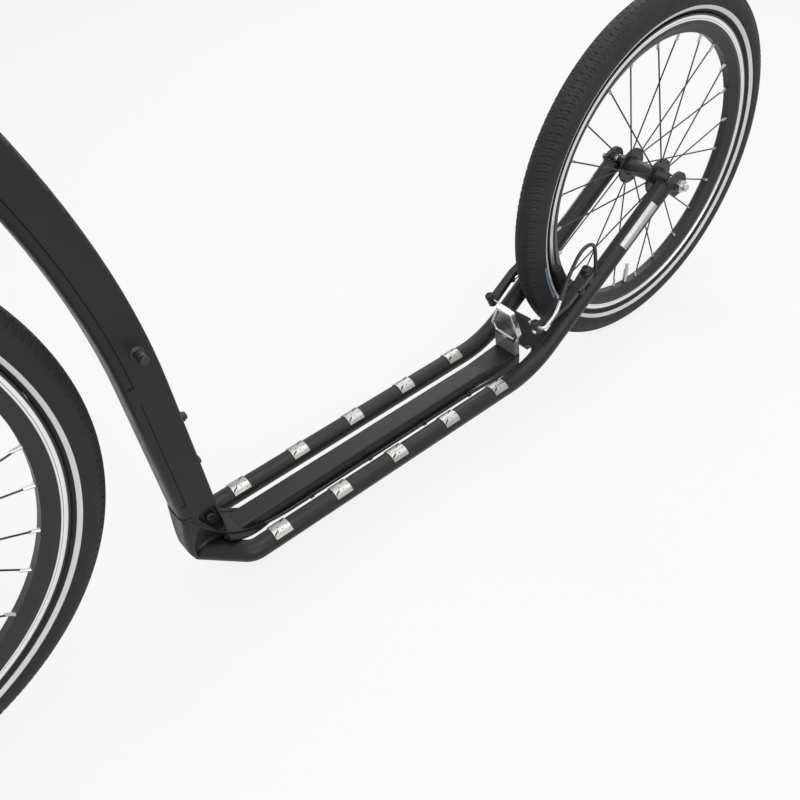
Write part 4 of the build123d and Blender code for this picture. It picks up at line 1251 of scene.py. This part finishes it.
# Bar: ribbed grips with end plugs, lever screws and cable adjusters
GRIP_DIR = Vector((-0.17333, 0.98298, 0.06094))
LEVER_AHEAD = Vector((0.85264, 0, -0.52250))
LEVER_UP = LEVER_AHEAD.cross(LEVER_SIDE).normalized()
LEVER_PIVOT = LEVER_BACK + LEVER_SIDE * 0.015
LEVER_MIDDLE = LEVER_PIVOT - LEVER_AHEAD * 0.032
LEVER_HALF_HEIGHT = 0.0074
LEVER_HEAD = (0.0040, 0.0022)
CLAMP_BACK = 0.0150
CLAMP_HEAD = (0.0040, 0.0030)
ADJUSTER = (
    (0.0052, -0.001), (0.0052, 0.0040), (0.0042, 0.0046), (0.0042, 0.0080), (0.0050, 0.0086),
    (0.0050, 0.0130), (0.0034, 0.0142),
)
GRIP_START = LEVER_MIDDLE + GRIP_DIR * 0.013
GRIP_LENGTH = 0.130
GRIP_COLLAR = ((0.0150, 0.0), (0.0185, 0.0006), (0.0188, 0.0020), (0.0180, 0.0036), (0.0162, 0.0046))
GRIP_TAIL = ((0.0160, GRIP_LENGTH - 0.0040), (0.0158, GRIP_LENGTH - 0.0012), (0.0140, GRIP_LENGTH))
GRIP_RIBS = 28
RIB_START = 0.0058
RIB_PITCH = 0.0042
RIB_ROOT = 0.0155
RIB_CREST = 0.0161
RIB_SWELL = 0.0005
PLUG_SINK = 0.001
PLUG = ((0.0118, 0), (0.0118, 0.0022), (0.0108, 0.0032), (0.0070, 0.0038))
grip_profile = list(GRIP_COLLAR)
for index in range(GRIP_RIBS):
    crest = RIB_CREST + RIB_SWELL * math.sin(math.pi * index / (GRIP_RIBS - 1))
    grip_profile += rib(RIB_ROOT, crest, RIB_START + RIB_PITCH * index, 0.0034, 0.0007)
grip_profile += GRIP_TAIL
for side, label in SIDES.items():
    along = on_side(GRIP_DIR, side)
    grip_start = on_side(GRIP_START, side)
    grip = Build()
    grip.lathe(grip_start, along, grip_profile, 40)
    grip_piece = grip.piece(f"grip_{label}_ribs", "steering", "rubber", rubber)
    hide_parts(f"grip_{label}")
    plug = Build()
    plug.lathe(grip_start + along * (GRIP_LENGTH - PLUG_SINK), along, PLUG, 32)
    plug.piece(f"bar_plug_{label}", "steering", "black_plastic", black_plastic)
    screws = Build()
    screws.lathe(on_side(LEVER_BACK, side), -on_side(LEVER_SIDE, side), ADJUSTER, 14)
    for level in (1, -1):
        outward = on_side(LEVER_UP, side) * level
        round_head(screws, on_side(LEVER_PIVOT, side) + outward * LEVER_HALF_HEIGHT, outward, *LEVER_HEAD)
    round_head(screws, on_side(LEVER_MIDDLE, side) - LEVER_AHEAD * CLAMP_BACK, -LEVER_AHEAD, *CLAMP_HEAD)
    screws.piece(f"lever_screws_{label}", "steering", "black_metal", black_metal)

# Stem bolts, headset rings and the welds of the fork's blades, by millimetres along the steering axis
CROWN_BOTTOM = 365.46
HEAD_BOTTOM = 412.26
HEAD_TOP = 562.26
STEM_BOTTOM = 592.56
STEM_TOP = 632.56
STEM_RISE = math.radians(30)
STEM_DIR = Vector((math.cos(STEM_RISE), 0, math.sin(STEM_RISE)))
STEM_UP = Vector((-STEM_DIR.z, 0, STEM_DIR.x))
STEM_HEAD = (0.0040, 0.0034)
BAR_CENTRE = on_steer((STEM_BOTTOM + STEM_TOP) / 2) + STEM_DIR * 0.080
TOP_BOLT_RISE = 4.0
TOP_HEAD = (0.0062, 0.0024)
FACE_BOLT_ANGLE = math.radians(38)
FACE_BOLT_OUT = 0.0200
FACE_BOLT_LEFT = 0.013
PINCH_IN = 10
PINCH_AHEAD = -18.6
RING_DROP = 0.6
BLADE_LEFT = 47.6
BLADE_TOP_RADIUS = 0.0148
stem_bolts = Build()
round_head(stem_bolts, on_steer(STEM_TOP + TOP_BOLT_RISE), STEER_DIR, *TOP_HEAD)
for side in SIDES:
    for level in (1, -1):
        toward = STEM_DIR * math.cos(FACE_BOLT_ANGLE) + STEM_UP * (level * math.sin(FACE_BOLT_ANGLE))
        at = BAR_CENTRE + toward * FACE_BOLT_OUT + LEFT * (side * FACE_BOLT_LEFT)
        round_head(stem_bolts, at, toward, *STEM_HEAD)
for height in (STEM_BOTTOM + PINCH_IN, STEM_TOP - PINCH_IN):
    round_head(stem_bolts, on_steer(height, PINCH_AHEAD), -STEER_AHEAD, *STEM_HEAD)
stem_bolts.piece("stem_bolts", "steering", "black_metal", black_metal)
headset_rings = Build()
for height in (HEAD_BOTTOM, HEAD_TOP):
    headset_rings.lathe(on_steer(height - RING_DROP), STEER_DIR, rib(0.0248, 0.0253, 0, 0.0012, 0.0003), 56)
headset_rings.piece("headset_rings", "frame", "steel", brushed_dark)
blade_welds = Build()
for side in SIDES:
    blade_top = circle(on_steer(CROWN_BOTTOM, 0, side * BLADE_LEFT), STEER_DIR, BLADE_TOP_RADIUS)
    blade_welds.bead(blade_top, WELD, closed=True, ripple=RING_RIPPLE)
blade_welds.piece("fork_welds", "steering", "frame_paint", frame_paint)
